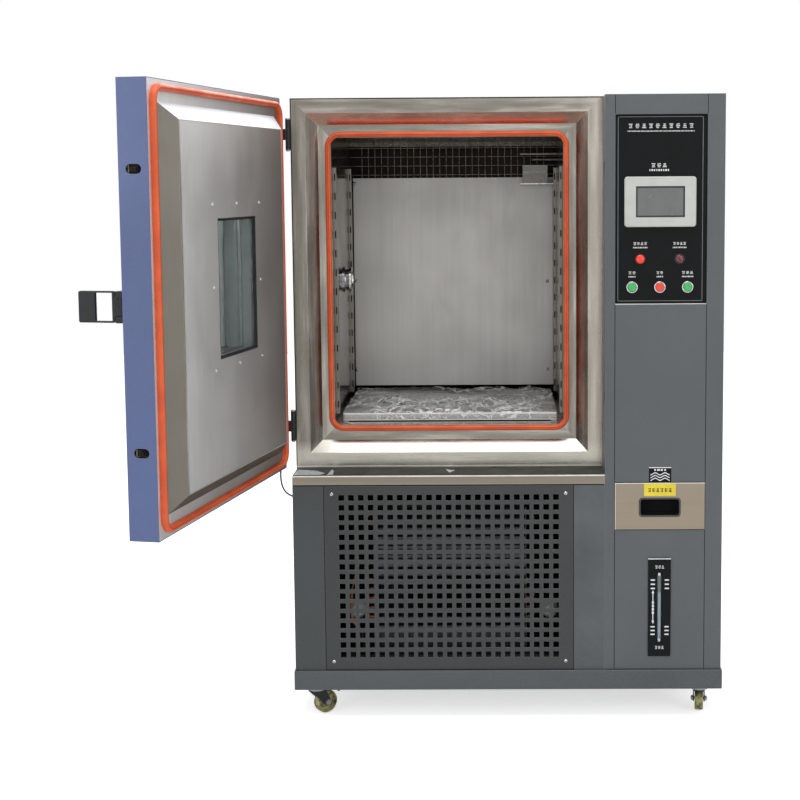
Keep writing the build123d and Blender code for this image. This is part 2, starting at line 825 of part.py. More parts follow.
def column_front():
    """The column's folded front and left side, with the two plain panels set in its opening."""
    front = frame_rect(right_x, column_x, body_z, top_z)
    front -= frame_rect(open_x0, open_x1, lower_z0 - panel_gap / 2, open_top)
    skin = plate_xz(front, 0, sheet)
    fold = frame_rect(open_x0 - sheet, open_x1 + sheet, body_z, open_top + sheet)
    fold -= frame_rect(open_x0, open_x1, body_z, open_top)
    skin += plate_xz(fold, sheet, return_d)
    side = slab((right_x, right_x + sheet), (sheet, body_d - sheet), (body_z, top_z - sheet))
    y = door_front + door_t / 2
    for z in bolt_zs:
        slot = Pos(y, z) * Rot(0, 0, 90) * SlotOverall(keeper_h, keeper_w)
        side -= extrude(Plane.YZ.offset(right_x) * slot, amount=sheet)
    skin += side
    upper = pan(upper_z0, upper_z1)
    lower = pan(lower_z0, lower_z1)
    slot = Pos(open_mid, gauge_z) * Rot(0, 0, 90) * SlotOverall(tube_h, 2 * (tube_r + touch))
    lower -= plate_xz(slot, 0, sheet)
    return group(skin, upper, lower)


def pan(z0, z1):
    """A panel with its four edges folded back, set in the column's opening."""
    x = (open_x0 + touch, open_x1 - touch)
    body = slab(x, (0, return_d - 2), (z0, z1))
    return body - slab((x[0] + sheet, x[1] - sheet), (sheet, return_d - 2), (z0 + sheet, z1 - sheet))


def control_panel():
    """The black plate that carries the controller, the lamps and the buttons."""
    plate = frame_rect(open_x0 + touch, open_x1 - touch, control_z0 + touch, open_top - touch)
    plate -= Pos(control_mid, bezel_z) * Rectangle(housing_w + 1, housing_h + 1)
    for x in lamp_xs():
        plate -= Pos(x, lamp_z) * Circle(cap_r + slide_clear)
    for x in button_xs():
        plate -= Pos(x, button_z) * Circle(cap_r + slide_clear)
    panel = plate_xz(plate, control_y, control_y + control_t)
    edge = frame_rect(open_x0 + touch, open_x1 - touch, control_z0 + touch, open_top - touch)
    edge -= frame_rect(open_x0 + 2, open_x1 - 2, control_z0 + 2, open_top - 2)
    return panel + plate_xz(edge, control_y + control_t, return_d)


def lamp_xs():
    """Places of the two pilot lamps."""
    return [control_mid - lamp_half_pitch, control_mid + lamp_half_pitch]


def button_xs():
    """Places of the three push buttons."""
    return [control_mid + i * button_pitch for i in (-1, 0, 1)]


def controller_bezel():
    """The touch controller: a rounded pale bezel with its housing behind the plate."""
    middle = Pos(control_mid, bezel_z)
    y = control_y - bezel_t
    flange = plate_xz(middle * RectangleRounded(bezel_w, bezel_h, 8), y, control_y)
    flange = chamfer(flange.faces().sort_by(Axis.Y)[0].outer_wire().edges(), 2)
    housing = plate_xz(middle * Rectangle(housing_w, housing_h), control_y, control_y + housing_d)
    return flange + housing - plate_xz(middle * Rectangle(screen_w, screen_h), y, y + 4)


def controller_screen():
    """The glass of the controller, a little below its bezel."""
    y = control_y - bezel_t
    clear = 0.1
    face = Pos(control_mid, bezel_z) * Rectangle(screen_w - clear, screen_h - clear)
    return plate_xz(face, y + 1.5, y + 4)


def panel_rings():
    """Bright rings round the lamps and the buttons."""
    places = [(x, lamp_z) for x in lamp_xs()] + [(x, button_z) for x in button_xs()]
    ring = Circle(ring_r) - Circle(cap_r + slide_clear)
    return group(*[plate_xz(Pos(x, z) * ring, control_y - ring_t, control_y) for x, z in places])


def cap(x, z, proud):
    """A round cap with a rolled front edge."""
    body = rod_y(x, z, cap_r, control_y - proud, control_y + cap_l - proud)
    return fillet(body.edges().sort_by(Axis.Y)[0], 2)


def pilot_lights():
    """The two lamp lenses."""
    return group(*[cap(x, lamp_z, cap_proud + 1) for x in lamp_xs()])


def gauge_plate():
    """The dark scale plate with the slot that shows the sight tube."""
    face = Pos(open_mid, gauge_z) * RectangleRounded(gauge_w, gauge_h, 2)
    face -= Pos(open_mid, gauge_z) * Rot(0, 0, 90) * SlotOverall(tube_h, 2 * (tube_r + touch))
    return plate_xz(face, -gauge_t, 0)


def gauge_tube():
    """The sight tube of the water level gauge."""
    return rod_z(open_mid, 3, tube_r, gauge_z - tube_h / 2 + 2 * tube_r, gauge_z + tube_h / 2 - 2 * tube_r)


def water_drawer():
    """The filling drawer: a stainless front with a recessed pull and an open tray behind it."""
    x = (open_x0 + 1, open_x1 - 1)
    front = slab(x, (-drawer_proud, drawer_front_t - drawer_proud), (drawer_z0, drawer_z1))
    half = tray_w / 2
    y0 = drawer_front_t - drawer_proud
    tray = slab((open_mid - half, open_mid + half), (y0, y0 + tray_d), (tray_z0, tray_z1))
    tray -= slab(
        (open_mid - half + 3, open_mid + half - 3), (y0 + pull_d, y0 + tray_d - 3), (tray_z0 + 3, tray_z1)
    )
    pull = Pos(open_mid, pull_z) * RectangleRounded(pull_w, pull_h, pull_r)
    return front + tray - plate_xz(pull, -drawer_proud, pull_d - drawer_proud - 2)


def drawer_runners():
    """The shelf inside the column that the filling drawer runs on, with its two side guides."""
    y = (return_d + 2, drawer_front_t - drawer_proud + tray_d + runner_past)
    z1 = tray_z0 - touch
    runner = slab((right_x + sheet, column_x - sheet), y, (z1 - 2, z1))
    for side in (-1, 1):
        x = open_mid + side * (tray_w / 2 + touch + 1)
        runner += slab((x - 1, x + 1), y, (z1, z1 + 30))
    return runner


def compressor():
    """The hermetic compressor on its feet."""
    r, h = compressor_r, compressor_h
    profile = Polyline((0, 0), (r - 18, 0), (r, 26), (r, h - 60), (r - 20, h - 20), (0, h), close=True)
    can = revolve(make_face(Plane.XZ * profile), Axis.Z)
    feet = Pos(0, 0, -4) * extrude(RectangleRounded(2 * r + 30, 2 * r + 30, 20), amount=4)
    pipe = rod_z(r + 14, 0, 6, 0, h + 40) + rod_x(0, 60, 6, r - 6, r + 14)
    place = Pos(-compressor_left, body_d - compressor_back, body_z + 4)
    return place * (can + feet + pipe)


def condenser():
    """The finned condenser behind the grille, with the ring its fan turns in."""
    x = condenser_w / 2
    z0 = body_z
    z1 = grille_z + condenser_h / 2
    y0, y1 = condenser_y, condenser_y + condenser_d
    body = slab((-x, -x + 2), (y0, y1), (z0, z1)) + slab((x - 2, x), (y0, y1), (z0, z1))
    pitch = (condenser_h - 20) / (fin_n - 1)
    for i in range(fin_n):
        z = grille_z - condenser_h / 2 + 10 + i * pitch
        body += slab((-x, x), (y0 + 6, y1 - 6), (z - 4, z + 4))
    ring = frame_rect(-x, x, z0, z1) - Pos(0, grille_z) * Circle(cool_fan_r + 8)
    body += plate_xz(ring, y1, y1 + 3)
    stay = slab((-x, x), (y1 + 72, y1 + 90), (grille_z - 12, grille_z + 12))
    side = slab((-x, -x + 3), (y1, y1 + 90), (grille_z - 12, grille_z + 12))
    body += stay + side + mirror(side, about=Plane.YZ)
    return body - rod_y(0, grille_z, shaft_r + running, y1 + 72, y1 + 90)


def condenser_fan():
    """A five-blade axial fan behind the condenser."""
    y1 = condenser_y + condenser_d
    hub = rod_y(0, grille_z, 28, y1 + 14, y1 + 56)
    fan = hub + rod_y(0, grille_z, shaft_r, y1 + 50, y1 + 88)
    blade = extrude(Pos(cool_fan_r / 2 + 10, 0) * RectangleRounded(cool_fan_r - 22, 64, 16), amount=2)
    laid = Rot(90, 0, 0) * Rot(28, 0, 0) * blade
    for i in range(5):
        fan += Pos(0, y1 + 36, grille_z) * Rot(0, i * 72, 0) * laid
    return fan


def caster_spots():
    """Where each caster's upright axis stands."""
    x0 = left_x - plinth_side_lip + caster_inset
    x1 = column_x + plinth_side_lip - caster_inset
    y0 = -plinth_front_lip + caster_inset
    y1 = body_d - caster_inset
    return {"front_left": (x0, y0), "front_right": (x1, y0), "rear_left": (x0, y1), "rear_right": (x1, y1)}


def caster_plates():
    """The four top plates bolted under the plinth."""
    z0 = caster_h - caster_plate_t
    plate = extrude(RectangleRounded(caster_plate, caster_plate, 6), amount=caster_plate_t)
    return group(*[Pos(x, y, z0) * plate for x, y in caster_spots().values()])


def caster_fork(name):
    """A swivel fork with its axle; the front pair carry a brake tab."""
    x, y = caster_spots()[name]
    top = caster_h - caster_plate_t - touch
    leg_top = wheel_r * 2 + 6
    half_in = wheel_w / 2 + 1.2
    head = Pos(0, leg_top - 3) * Rectangle(36, 6)
    boss = Pos(-trail, wheel_r) * Circle(9)
    leg = make_hull(head.edges() + boss.edges())
    fork = plate_xz(leg, half_in, half_in + fork_t) + plate_xz(leg, -half_in - fork_t, -half_in)
    crown = slab((-18, 18), (-half_in - fork_t, half_in + fork_t), (leg_top - fork_t, leg_top))
    fork += crown + rod_z(0, 0, 21, leg_top, top)
    fork += rod_y(-trail, wheel_r, axle_r, -half_in - fork_t - 4, half_in + fork_t + 4)
    if name.startswith("front"):
        tab = slab((-trail - 36, -10), (-9, 9), (leg_top, leg_top + 3))
        tab += slab((-trail - 38, -trail - 35), (-9, 9), (leg_top - 16, leg_top + 3))
        fork += tab
    return Pos(x, y, 0) * Rot(0, 0, caster_headings[name]) * fork


def caster_wheel(name):
    """The tyred wheel: hub, dished web and a rounded tread."""
    x, y = caster_spots()[name]
    h = wheel_w / 2
    bore = axle_r + axle_clear
    profile = Polyline(
        (bore, -h), (9, -h), (9, -h + 4), (22, -h + 4), (24, -h), (wheel_r - 2, -h), (wheel_r, -h + 3),
        (wheel_r, h - 3), (wheel_r - 2, h), (24, h), (22, h - 4), (9, h - 4), (9, h), (bore, h), close=True,
    )
    wheel = revolve(make_face(profile), Axis.Y)
    return Pos(x, y, 0) * Rot(0, 0, caster_headings[name]) * Pos(-trail, 0, wheel_r) * wheel


def door_cable():
    """The short lead from the door's lower hinge corner to the cabinet's side."""
    a, b, c = [Vector(*p) for p in cable_points]
    first, second = (b - a), (c - b)
    turn = radians(first.get_angle(second))
    shorter = min(first.length, second.length)
    radius = 0.45 * shorter / tan(turn / 2)
    print(f"door cable: run {first.length:.1f} and {second.length:.1f}, bend radius {radius:.1f}")
    path = FilletPolyline(*cable_points, radius=radius)
    end = Plane(origin=path @ 0, z_dir=path % 0)
    return sweep(end * Circle(cable_d / 2), path=path)


fixed = {
    "base_frame": base_frame,
    "left_side_panel": left_side_panel,
    "right_side_panel": right_side_panel,
    "top_panel": top_panel,
    "rear_panel": rear_panel,
    "lower_front_frame": lower_front_frame,
    "grille_panel": grille_panel,
    "ledge_sill": ledge_sill,
    "chamber_front_frame": chamber_front_frame,
    "frame_gasket": frame_gasket,
    "chamber_liner": chamber_liner,
    "chamber_insulation": chamber_insulation,
    "back_baffle": back_baffle,
    "outlet_grille": outlet_grille,
    "fan_motor": fan_motor,
    "circulation_fan": circulation_fan,
    "heater_coil": heater_coil,
    "evaporator": evaporator,
    "shelf_standards": shelf_standards,
    "cable_port": cable_port,
    "wet_bulb_set": wet_bulb_set,
    "shelf": shelf,
    "shelf_film": shelf_film,
    "column_front": column_front,
    "control_panel": control_panel,
    "controller_bezel": controller_bezel,
    "controller_screen": controller_screen,
    "panel_rings": panel_rings,
    "pilot_lights": pilot_lights,
    "gauge_plate": gauge_plate,
    "gauge_tube": gauge_tube,
    "water_drawer": water_drawer,
    "drawer_runners": drawer_runners,
    "hinge_frame_leaves": hinge_frame_leaves,
    "compressor": compressor,
    "condenser": condenser,
    "condenser_fan": condenser_fan,
    "caster_plates": caster_plates,
    "door_cable": door_cable,
}
for name, make in fixed.items():
    save(name, make())

swinging = {
    "door_shell": door_shell,
    "door_insulation": door_insulation,
    "door_plug": door_plug,
    "door_gasket": door_gasket,
    "window_frame": window_frame,
    "window_panes": window_panes,
    "door_hardware": door_hardware,
    "handle": handle,
    "latch_bolts": latch_bolts,
}
for name, make in swinging.items():
    save(name, opened(make()))

for name, x in zip(("run_button", "stop_button", "light_button"), button_xs()):
    save(name, cap(x, button_z, cap_proud))

for name in caster_spots():
    save(f"caster_fork_{name}", caster_fork(name))
    save(f"caster_wheel_{name}", caster_wheel(name))
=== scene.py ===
# %% [markdown]
# # An environmental test chamber, with its door standing open
#
# The object is a steel cabinet about 1.6 m tall. A stainless box with foam round it holds the test
# space, a blue door with an orange silicone seal closes it, and a column on the right carries the
# controller, a filling drawer and a water gauge. Below the test space sits the refrigeration
# plant, behind a panel punched with square holes.
#
# The solids are already modelled and packed, so this file does what is left: it gives every
# surface a finish, and adds what is too small or too soft for the solids, such as screws, printed
# marks, the clear film on the shelf and the cable that crosses the hinge.

import math

import bmesh
import bpy
from mathutils import Matrix, Vector, noise


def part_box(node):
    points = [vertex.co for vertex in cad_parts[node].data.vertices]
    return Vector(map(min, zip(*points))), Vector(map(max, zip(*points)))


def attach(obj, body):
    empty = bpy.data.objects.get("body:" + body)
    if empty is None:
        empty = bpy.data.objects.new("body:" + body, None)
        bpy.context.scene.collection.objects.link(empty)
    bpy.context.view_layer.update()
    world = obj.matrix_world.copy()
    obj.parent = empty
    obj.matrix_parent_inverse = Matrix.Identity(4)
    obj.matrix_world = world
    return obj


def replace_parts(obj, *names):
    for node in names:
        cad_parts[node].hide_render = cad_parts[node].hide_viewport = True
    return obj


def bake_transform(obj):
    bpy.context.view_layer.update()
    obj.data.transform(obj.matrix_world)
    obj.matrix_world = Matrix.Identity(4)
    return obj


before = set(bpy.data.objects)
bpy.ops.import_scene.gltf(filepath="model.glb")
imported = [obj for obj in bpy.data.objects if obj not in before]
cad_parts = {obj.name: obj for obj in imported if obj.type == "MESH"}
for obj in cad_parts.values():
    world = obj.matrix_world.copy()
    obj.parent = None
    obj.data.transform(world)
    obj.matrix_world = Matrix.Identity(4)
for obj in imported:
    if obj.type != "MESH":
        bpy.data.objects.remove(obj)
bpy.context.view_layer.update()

# %% [markdown]
# The camera comes first, because every other choice is judged through it. The real picture was
# taken from 3.6 m in front and 1.4 m above the floor, looking slightly down. The camera's three
# axes are worked out from pitch, yaw and roll, and go straight into its matrix. The lens follows
# from a focal length of 1433 pixels on an 800 pixel picture, and the shift only moves the frame
# so that the open door has room on the left.

# %% The camera
pitch, yaw, roll = (math.radians(a) for a in (5.50, -0.51, -0.37))
ahead = Vector((math.sin(yaw) * math.cos(pitch), math.cos(yaw) * math.cos(pitch), -math.sin(pitch)))
level = Vector((math.cos(yaw), -math.sin(yaw), 0))
upward = level.cross(ahead)
right = level * math.cos(roll) + upward * math.sin(roll)
up = upward * math.cos(roll) - level * math.sin(roll)
camera_data = bpy.data.cameras.new("camera")
sensor_mm, focal_px, picture_px = 36, 1433, 800
camera_data.lens = sensor_mm * focal_px / picture_px
camera_data.shift_x = -0.104
camera_data.shift_y = -0.100
camera = bpy.data.objects.new("camera", camera_data)
bpy.context.scene.collection.objects.link(camera)
axes = Matrix((right, up, -ahead)).transposed().to_4x4()
camera_at = (0.124, -3.608, 1.390)
camera.matrix_world = Matrix.Translation(camera_at) @ axes
bpy.context.scene.camera = camera
print("lens", round(camera_data.lens, 1), "mm")

# %% [markdown]
# Finishes are written down as sRGB hex values, the way a paint card or a picture gives them.
# Shaders work in linear light, so one function turns a hex value into linear numbers. Patterns
# are given in millimetres and turned into the texture's scale by a second. A third adds a node
# with its settings and links, so that a finish reads from top to bottom, a fourth starts a new
# finish, and a fifth links what was worked out to the shader's own sockets.

# %% Helpers for finishes
rgba = {"out": 2, "data_type": "RGBA"}  # what makes a Mix node mix two colours


def linear(code, alpha=1.0):
    """An sRGB hex colour as linear red, green, blue and alpha."""
    parts = [int(code[i : i + 2], 16) / 255 for i in (1, 3, 5)]
    return [c / 12.92 if c <= 0.04045 else ((c + 0.055) / 1.055) ** 2.4 for c in parts] + [alpha]


def per(size_mm):
    """The scale that gives a pattern one feature every so many millimetres."""
    return 1000.0 / size_mm


def add(tree, kind, sockets, out=0, **settings):
    """A node with its settings and links, given back as one of its outputs to be linked on.

    A socket takes a number, a hex colour or the output of another node.
    """
    node = tree.nodes.new("ShaderNode" + kind)
    for key, value in settings.items():
        setattr(node, key, value)
    for key, value in sockets.items():
        if isinstance(value, bpy.types.NodeSocket):
            tree.links.new(value, node.inputs[key])
        else:
            node.inputs[key].default_value = linear(value) if isinstance(value, str) else value
    return node.outputs[out]


def begin(name, **sockets):
    """A new finish: the material, its tree, its shader and the place on the object in metres."""
    material = bpy.data.materials.new(name)
    material.use_nodes = True
    tree = material.node_tree
    shader = tree.nodes["Principled BSDF"]
    for key, value in sockets.items():
        shader.inputs[key.replace("_", " ")].default_value = value
    return material, tree, shader, add(tree, "TexCoord", {}, "Object")
def fill(shader, **outputs):
    """Links outputs to a shader's sockets. A socket's name has an underscore for each space."""
    for key, value in outputs.items():
        shader.id_data.links.new(value, shader.inputs[key.replace("_", " ")])


print("a mid grey is", [round(c, 3) for c in linear("#808080")[:3]])

# %% [markdown]
# ## Powder coat
#
# The cabinet is folded steel sheet with a baked polyester powder coat. The powder melts into a
# film with a slight orange-peel ripple, two or three millimetres from crest to crest, with a
# satin sheen, so highlights are broad and a little broken up. Folded edges carry less powder and
# get rubbed, so they look paler, and the pale rim is also a painted highlight where the edges
# catch the light. The rim is found by comparing the true normal with one that a Bevel node
# rounds off. Hands and floor dust leave faint clouds, which a large noise gives.

# %% Powder coat


def edges_worn_and_lit(tree, width_mm):
    """Close to 1 where a fold or an edge is within the given width, and 0 on flat sheet."""
    rounded = add(tree, "Bevel", {"Radius": width_mm / 1000}, samples=4)
    true = add(tree, "NewGeometry", {}, "Normal")
    likeness = add(tree, "VectorMath", {0: rounded, 1: true}, "Value", operation="DOT_PRODUCT")
    return add(tree, "MapRange", {0: likeness, 1: 0.995, 2: 0.8}), rounded


def powder_coat(name, colour, cloud_colour, rim_wear_highlight_colour, roughness=0.42, right_lit_colour=None):
    """A satin baked powder coat on sheet. A second colour, where given, takes over to the right as painted
    light.
    """
    material, tree, shader, place = begin(name, IOR=1.5, Specular_IOR_Level=0.3)
    # The second colour is painted light that grows toward the right.
    if right_lit_colour:
        level = add(tree, "SeparateXYZ", {0: place}, "X")
        spread = add(tree, "MapRange", {0: level, 1: -0.34, 2: 0.36})
        colour = add(tree, "Mix", {0: spread, 6: colour, 7: right_lit_colour}, **rgba)
    sockets = {"Vector": place, "Scale": per(330), "Detail": 6, "Roughness": 0.62}
    clouds = add(tree, "TexNoise", sockets)
    cloudy = add(tree, "MapRange", {0: clouds, 1: 0.35, 2: 0.68})
    base = add(tree, "Mix", {0: cloudy, 6: colour, 7: cloud_colour}, **rgba)
    speck = add(tree, "TexNoise", {"Vector": place, "Scale": per(5), "Detail": 2})
    specked = add(tree, "MapRange", {0: speck, 1: 0.3, 2: 0.7, 3: 0.0, 4: 0.05})
    fine = add(tree, "Mix", {0: specked, 6: base, 7: rim_wear_highlight_colour}, **rgba)
    # Edges paler from wear, and also a painted highlight where they catch the light.
    rim, soft_normal = edges_worn_and_lit(tree, 2.2)
    worn = add(tree, "MapRange", {0: clouds, 1: 0.3, 2: 0.7, 3: 0.25, 4: 0.85})
    patchy = add(tree, "Math", {0: rim, 1: worn}, operation="MULTIPLY")
    coat = add(tree, "Mix", {0: patchy, 6: fine, 7: rim_wear_highlight_colour}, **rgba)
    gloss = add(tree, "MapRange", {0: clouds, 1: 0.3, 2: 0.7, 3: roughness - 0.05, 4: roughness + 0.09})
    peel = add(tree, "TexNoise", {"Vector": place, "Scale": per(2.6), "Detail": 2})
    sockets = {"Height": peel, "Distance": 0.00005, "Strength": 0.35, "Normal": soft_normal}
    fill(shader, Base_Color=coat, Roughness=gloss, Normal=add(tree, "Bump", sockets))
    return material


grey_coat = powder_coat("powder_coat_grey", "#595D60", "#54585B", "#8E9294")
plinth_coat = powder_coat("powder_coat_grey_plinth", "#505557", "#4B4F51", "#A2A5A6")
# The lower front's grey is the cabinet grey darkened as painted shade. The posts' grey is painted shade at
# the left that grows lighter, as painted light, toward the right.
lower_shaded_coat = powder_coat("powder_coat_grey_lower_shaded", "#3C3F3F", "#383B3B", "#868A8B")
posts_shaded_coat = powder_coat("powder_coat_grey_posts_shaded", "#414545", "#43474A", "#8F9394", 0.42, "#5B6063")
blue_coat = powder_coat("powder_coat_blue", "#5B6993", "#566389", "#8C97C0", 0.38)
black_coat = powder_coat("powder_coat_black", "#26282A", "#1D1F20", "#5A5D5F", 0.40)
print("powder coats made: 6")

# %% [markdown]
# ## Brushed stainless
#
# The test space, the front frame, the door's inner panel and the sill are type 304 stainless
# sheet. The mill drags an abrasive belt along the sheet, which cuts long parallel scratches a few
# hundredths of a millimetre wide. From this far they blend into soft bands, so two noises are
# stretched along the grain: one 1.2 mm wide, coarser than real scratches so that it shows at all,
# and one of about 24 mm for the bands. Metal keeps the default IOR, and its colour is its
# reflectance. The sheet also picks up smears, which change only the roughness.
#
# The frame's and the door panel's faces differ in shade, as bright sheet does that mirrors a
# workshop. Three functions paint that shade and those reflections into the colour, by place or
# by facing.

# %% Brushed stainless
grain_ways = {"X": (0.012, 1, 1), "Y": (1, 0.012, 1), "Z": (1, 1, 0.012)}
frame_half_x, frame_half_z, frame_middle_z = 0.4, 0.478, 1.128
door_pin = Vector((-0.4065, 0.085, 0))
open_turn = math.radians(-101)
def mitred(tree, place, squeeze=0.012):
    """Grain that runs along each bar of the front frame and turns at its mitred corners."""
    upright_way = add(tree, "Mapping", {"Vector": place, "Scale": (1, 1, squeeze)})
    level_way = add(tree, "Mapping", {"Vector": place, "Scale": (squeeze, 1, 1)})
    level = add(tree, "SeparateXYZ", {0: place}, "X")
    upright = add(tree, "SeparateXYZ", {0: place}, "Z")
    off_side = add(tree, "Math", {0: level, 1: 0.0}, operation="ABSOLUTE")
    from_side = add(tree, "Math", {0: off_side, 1: frame_half_x}, operation="SUBTRACT")
    height = add(tree, "Math", {0: upright, 1: frame_middle_z}, operation="SUBTRACT")
    off_middle = add(tree, "Math", {0: height, 1: 0.0}, operation="ABSOLUTE")
    from_top = add(tree, "Math", {0: off_middle, 1: frame_half_z}, operation="SUBTRACT")
    level_bar = add(tree, "Math", {0: from_top, 1: from_side}, operation="GREATER_THAN")
    return add(tree, "Mix", {0: level_bar, 4: upright_way, 5: level_way}, 1, data_type="VECTOR")


def brushed(name, colour, band_colour, along="Z", roughness=0.34, smear=0.10, shade=None, cut_mm=0.06):
    """Brushed stainless sheet. Its grain runs along X, Y or Z, or turns with the frame's bars."""
    material, tree, shader, place = begin(name, Metallic=1.0)
    if along == "frame":
        drawn = mitred(tree, place)
    else:
        drawn = add(tree, "Mapping", {"Vector": place, "Scale": grain_ways[along]})
    sockets = {"Vector": drawn, "Scale": per(1.2), "Detail": 3, "Roughness": 0.6}
    scratches = add(tree, "TexNoise", sockets)
    sockets = {"Vector": drawn, "Scale": per(24), "Detail": 5, "Roughness": 0.75}
    bands = add(tree, "TexNoise", sockets)
    smears = add(tree, "TexNoise", {"Vector": place, "Scale": per(160), "Detail": 5})
    banded = add(tree, "MapRange", {0: bands, 1: 0.3, 2: 0.7})
    tone = add(tree, "Mix", {0: banded, 6: colour, 7: band_colour}, **rgba)
    scored = add(tree, "MapRange", {0: scratches, 1: 0.35, 2: 0.75, 3: 0.0, 4: 0.3})
    fine = add(tree, "Mix", {0: scored, 6: tone, 7: band_colour}, **rgba)
    # A shade function, where given, paints shade and reflections into the colour.
    sheen = shade(tree, place, fine) if shade else fine
    smeared = add(tree, "MapRange", {0: smears, 1: 0.35, 2: 0.72, 3: roughness - 0.04, 4: roughness + smear})
    broken = add(tree, "MapRange", {0: scratches, 1: 0.3, 2: 0.7, 3: -0.04, 4: 0.06})
    grained = add(tree, "Math", {0: smeared, 1: broken}, operation="ADD")
    rounded = add(tree, "Bevel", {"Radius": 0.0012}, samples=4)
    sockets = {"Height": scratches, "Distance": cut_mm / 1000, "Strength": 0.6, "Normal": rounded}
    fill(shader, Base_Color=sheen, Roughness=grained, Normal=add(tree, "Bump", sockets))
    return material


def paint_plenum_shade(tree, place, colour):
    """Paints shade, nearly black, on the sheet behind the baffle, where hardly any light reaches."""
    depth = add(tree, "SeparateXYZ", {0: place}, "Y")
    # Painted shade, nearly black, behind the baffle.
    behind = add(tree, "MapRange", {0: depth, 1: 0.606, 2: 0.622})
    return add(tree, "Mix", {0: behind, 6: colour, 7: "#191714"}, **rgba)


def painted_panel_shades(tree, place, colour):
    """Painted shade on the door panel, greyer to the hinge and on two bevels, and a painted reflection on
    the upper bevel.
    """
    facing = add(tree, "TexCoord", {}, "Normal")
    sockets = {0: facing, 1: swing_way(0.707, 0.707)}
    toward = add(tree, "VectorMath", sockets, "Value", operation="DOT_PRODUCT")
    sockets = {0: place, 1: swing_way(1, 0)}
    reach = add(tree, "VectorMath", sockets, "Value", operation="DOT_PRODUCT")
    latch_end = door_reach(0.30)
    to_latch = add(tree, "MapRange", {0: reach, 1: latch_end - 0.62, 2: latch_end})
    # Painted shade, greyer toward the hinge.
    panel_hinge_shade = add(tree, "Mix", {0: to_latch, 6: "#8E8B88", 7: colour}, **rgba)
    tilt = add(tree, "SeparateXYZ", {0: facing}, "Z")
    under = add(tree, "MapRange", {0: tilt, 1: -0.25, 2: -0.6})
    # Painted shade on faces that look down.
    lower = add(tree, "Mix", {0: under, 6: panel_hinge_shade, 7: "#67625A"}, **rgba)
    over = add(tree, "MapRange", {0: tilt, 1: 0.25, 2: 0.6})
    # A painted pale reflection on faces that look up.
    upper = add(tree, "Mix", {0: over, 6: lower, 7: "#DDE3EA"}, **rgba)
    latch_bevel_shade_mask = add(tree, "MapRange", {0: toward, 1: 0.9, 2: 0.97})
    # Painted shade on the latch-side bevel.
    return add(tree, "Mix", {0: latch_bevel_shade_mask, 6: upper, 7: "#77736B"}, **rgba)


def frame_streaks_and_painted_light(tree, place, colour):
    """Marks along each bar, and painted light and shade: darker at the hinge, paler at the right and the
    foot.
    """
    drawn = mitred(tree, place, 0.10)
    streak = add(tree, "TexNoise", {"Vector": drawn, "Scale": per(22), "Detail": 4})
    darker = add(tree, "MapRange", {0: streak, 1: 0.56, 2: 0.36, 3: 0.0, 4: 0.6})
    dark = add(tree, "Mix", {0: darker, 6: colour, 7: "#6C665C"}, **rgba)
    paler = add(tree, "MapRange", {0: streak, 1: 0.54, 2: 0.70, 3: 0.0, 4: 0.6})
    streaked = add(tree, "Mix", {0: paler, 6: dark, 7: "#CDC8BE"}, **rgba)
    level = add(tree, "SeparateXYZ", {0: place}, "X")
    height = add(tree, "SeparateXYZ", {0: place}, "Z")
    hinge_side = add(tree, "MapRange", {0: level, 1: -0.34, 2: -0.40, 3: 0.0, 4: 0.55})
    # Painted shade toward the hinge.
    darkened = add(tree, "Mix", {0: hinge_side, 6: streaked, 7: "#807A70"}, **rgba)
    right_side = add(tree, "MapRange", {0: level, 1: 0.34, 2: 0.38, 3: 0.0, 4: 0.5})
    # Painted light toward the right.
    right_painted_light = add(tree, "Mix", {0: right_side, 6: darkened, 7: "#D8CFC4"}, **rgba)
    foot = add(tree, "MapRange", {0: height, 1: 0.72, 2: 0.69, 3: 0.0, 4: 0.5})
    # Painted light on the foot.
    foot_painted_light = add(tree, "Mix", {0: foot, 6: right_painted_light, 7: "#D8D4C8"}, **rgba)
    tilt = add(tree, "SeparateXYZ", {0: add(tree, "TexCoord", {}, "Normal")}, "Z")
    under = add(tree, "MapRange", {0: tilt, 1: -0.3, 2: -0.6})
    # A painted orange reflection on faces that look down.
    underside_painted_reflection = add(tree, "Mix", {0: under, 6: foot_painted_light, 7: "#D6AE9D"}, **rgba)
    over = add(tree, "MapRange", {0: tilt, 1: 0.3, 2: 0.6})
    # Painted shade on faces that look up.
    return add(tree, "Mix", {0: over, 6: underside_painted_reflection, 7: "#A19E97"}, **rgba)


def swing_way(x, y):
    """A direction on the closed door, turned to where the door stands."""
    cos, sin = math.cos(open_turn), math.sin(open_turn)
    return (x * cos - y * sin, x * sin + y * cos, 0)


def door_reach(x):
    """How far a place on the closed door, at this x in metres, lies along the open door's width."""
    return Vector(swing_way(1, 0)).dot(door_pin) + x - door_pin.x


frame_steel = brushed("stainless_frame", "#A8A49B", "#908C83", "frame", 0.24, 0.10, frame_streaks_and_painted_light)
liner_steel = brushed("stainless_liner", "#8B8781", "#6E6A64", "Z", 0.16, 0.10, paint_plenum_shade)
rail_steel = brushed("stainless_uprights", "#99948C", "#716C64", "Z", 0.28)
baffle_steel = brushed("stainless_baffle", "#C4C2BF", "#BAB8B5", "Z", 0.50, 0.05, None, 0.03)
plug_steel = brushed("stainless_door_panel", "#DEDFDF", "#D6D7D7", "Z", 0.58, 0.04, painted_panel_shades, 0.015)
sill_steel = brushed("stainless_sill", "#9C9486", "#837B6E", "X", 0.30)
drawer_steel = brushed("stainless_drawer_front", "#9D9282", "#978C7C", "X", 0.42, 0.04)
shelf_steel = brushed("stainless_shelf", "#C2C3C2", "#A5A6A5", "X", 0.24)
print("stainless finishes made: 8")

# %% [markdown]
# ## Silicone rubber
#
# Both door seals are extruded silicone, dyed orange. Silicone is soft and slightly translucent,
# so light enters it and shadows in the folds stay warm. Subsurface scattering of about a
# millimetre gives that. The die leaves faint lines along the seal, and dust and finger grease
# leave it satin, with paler patches.

# %% Silicone


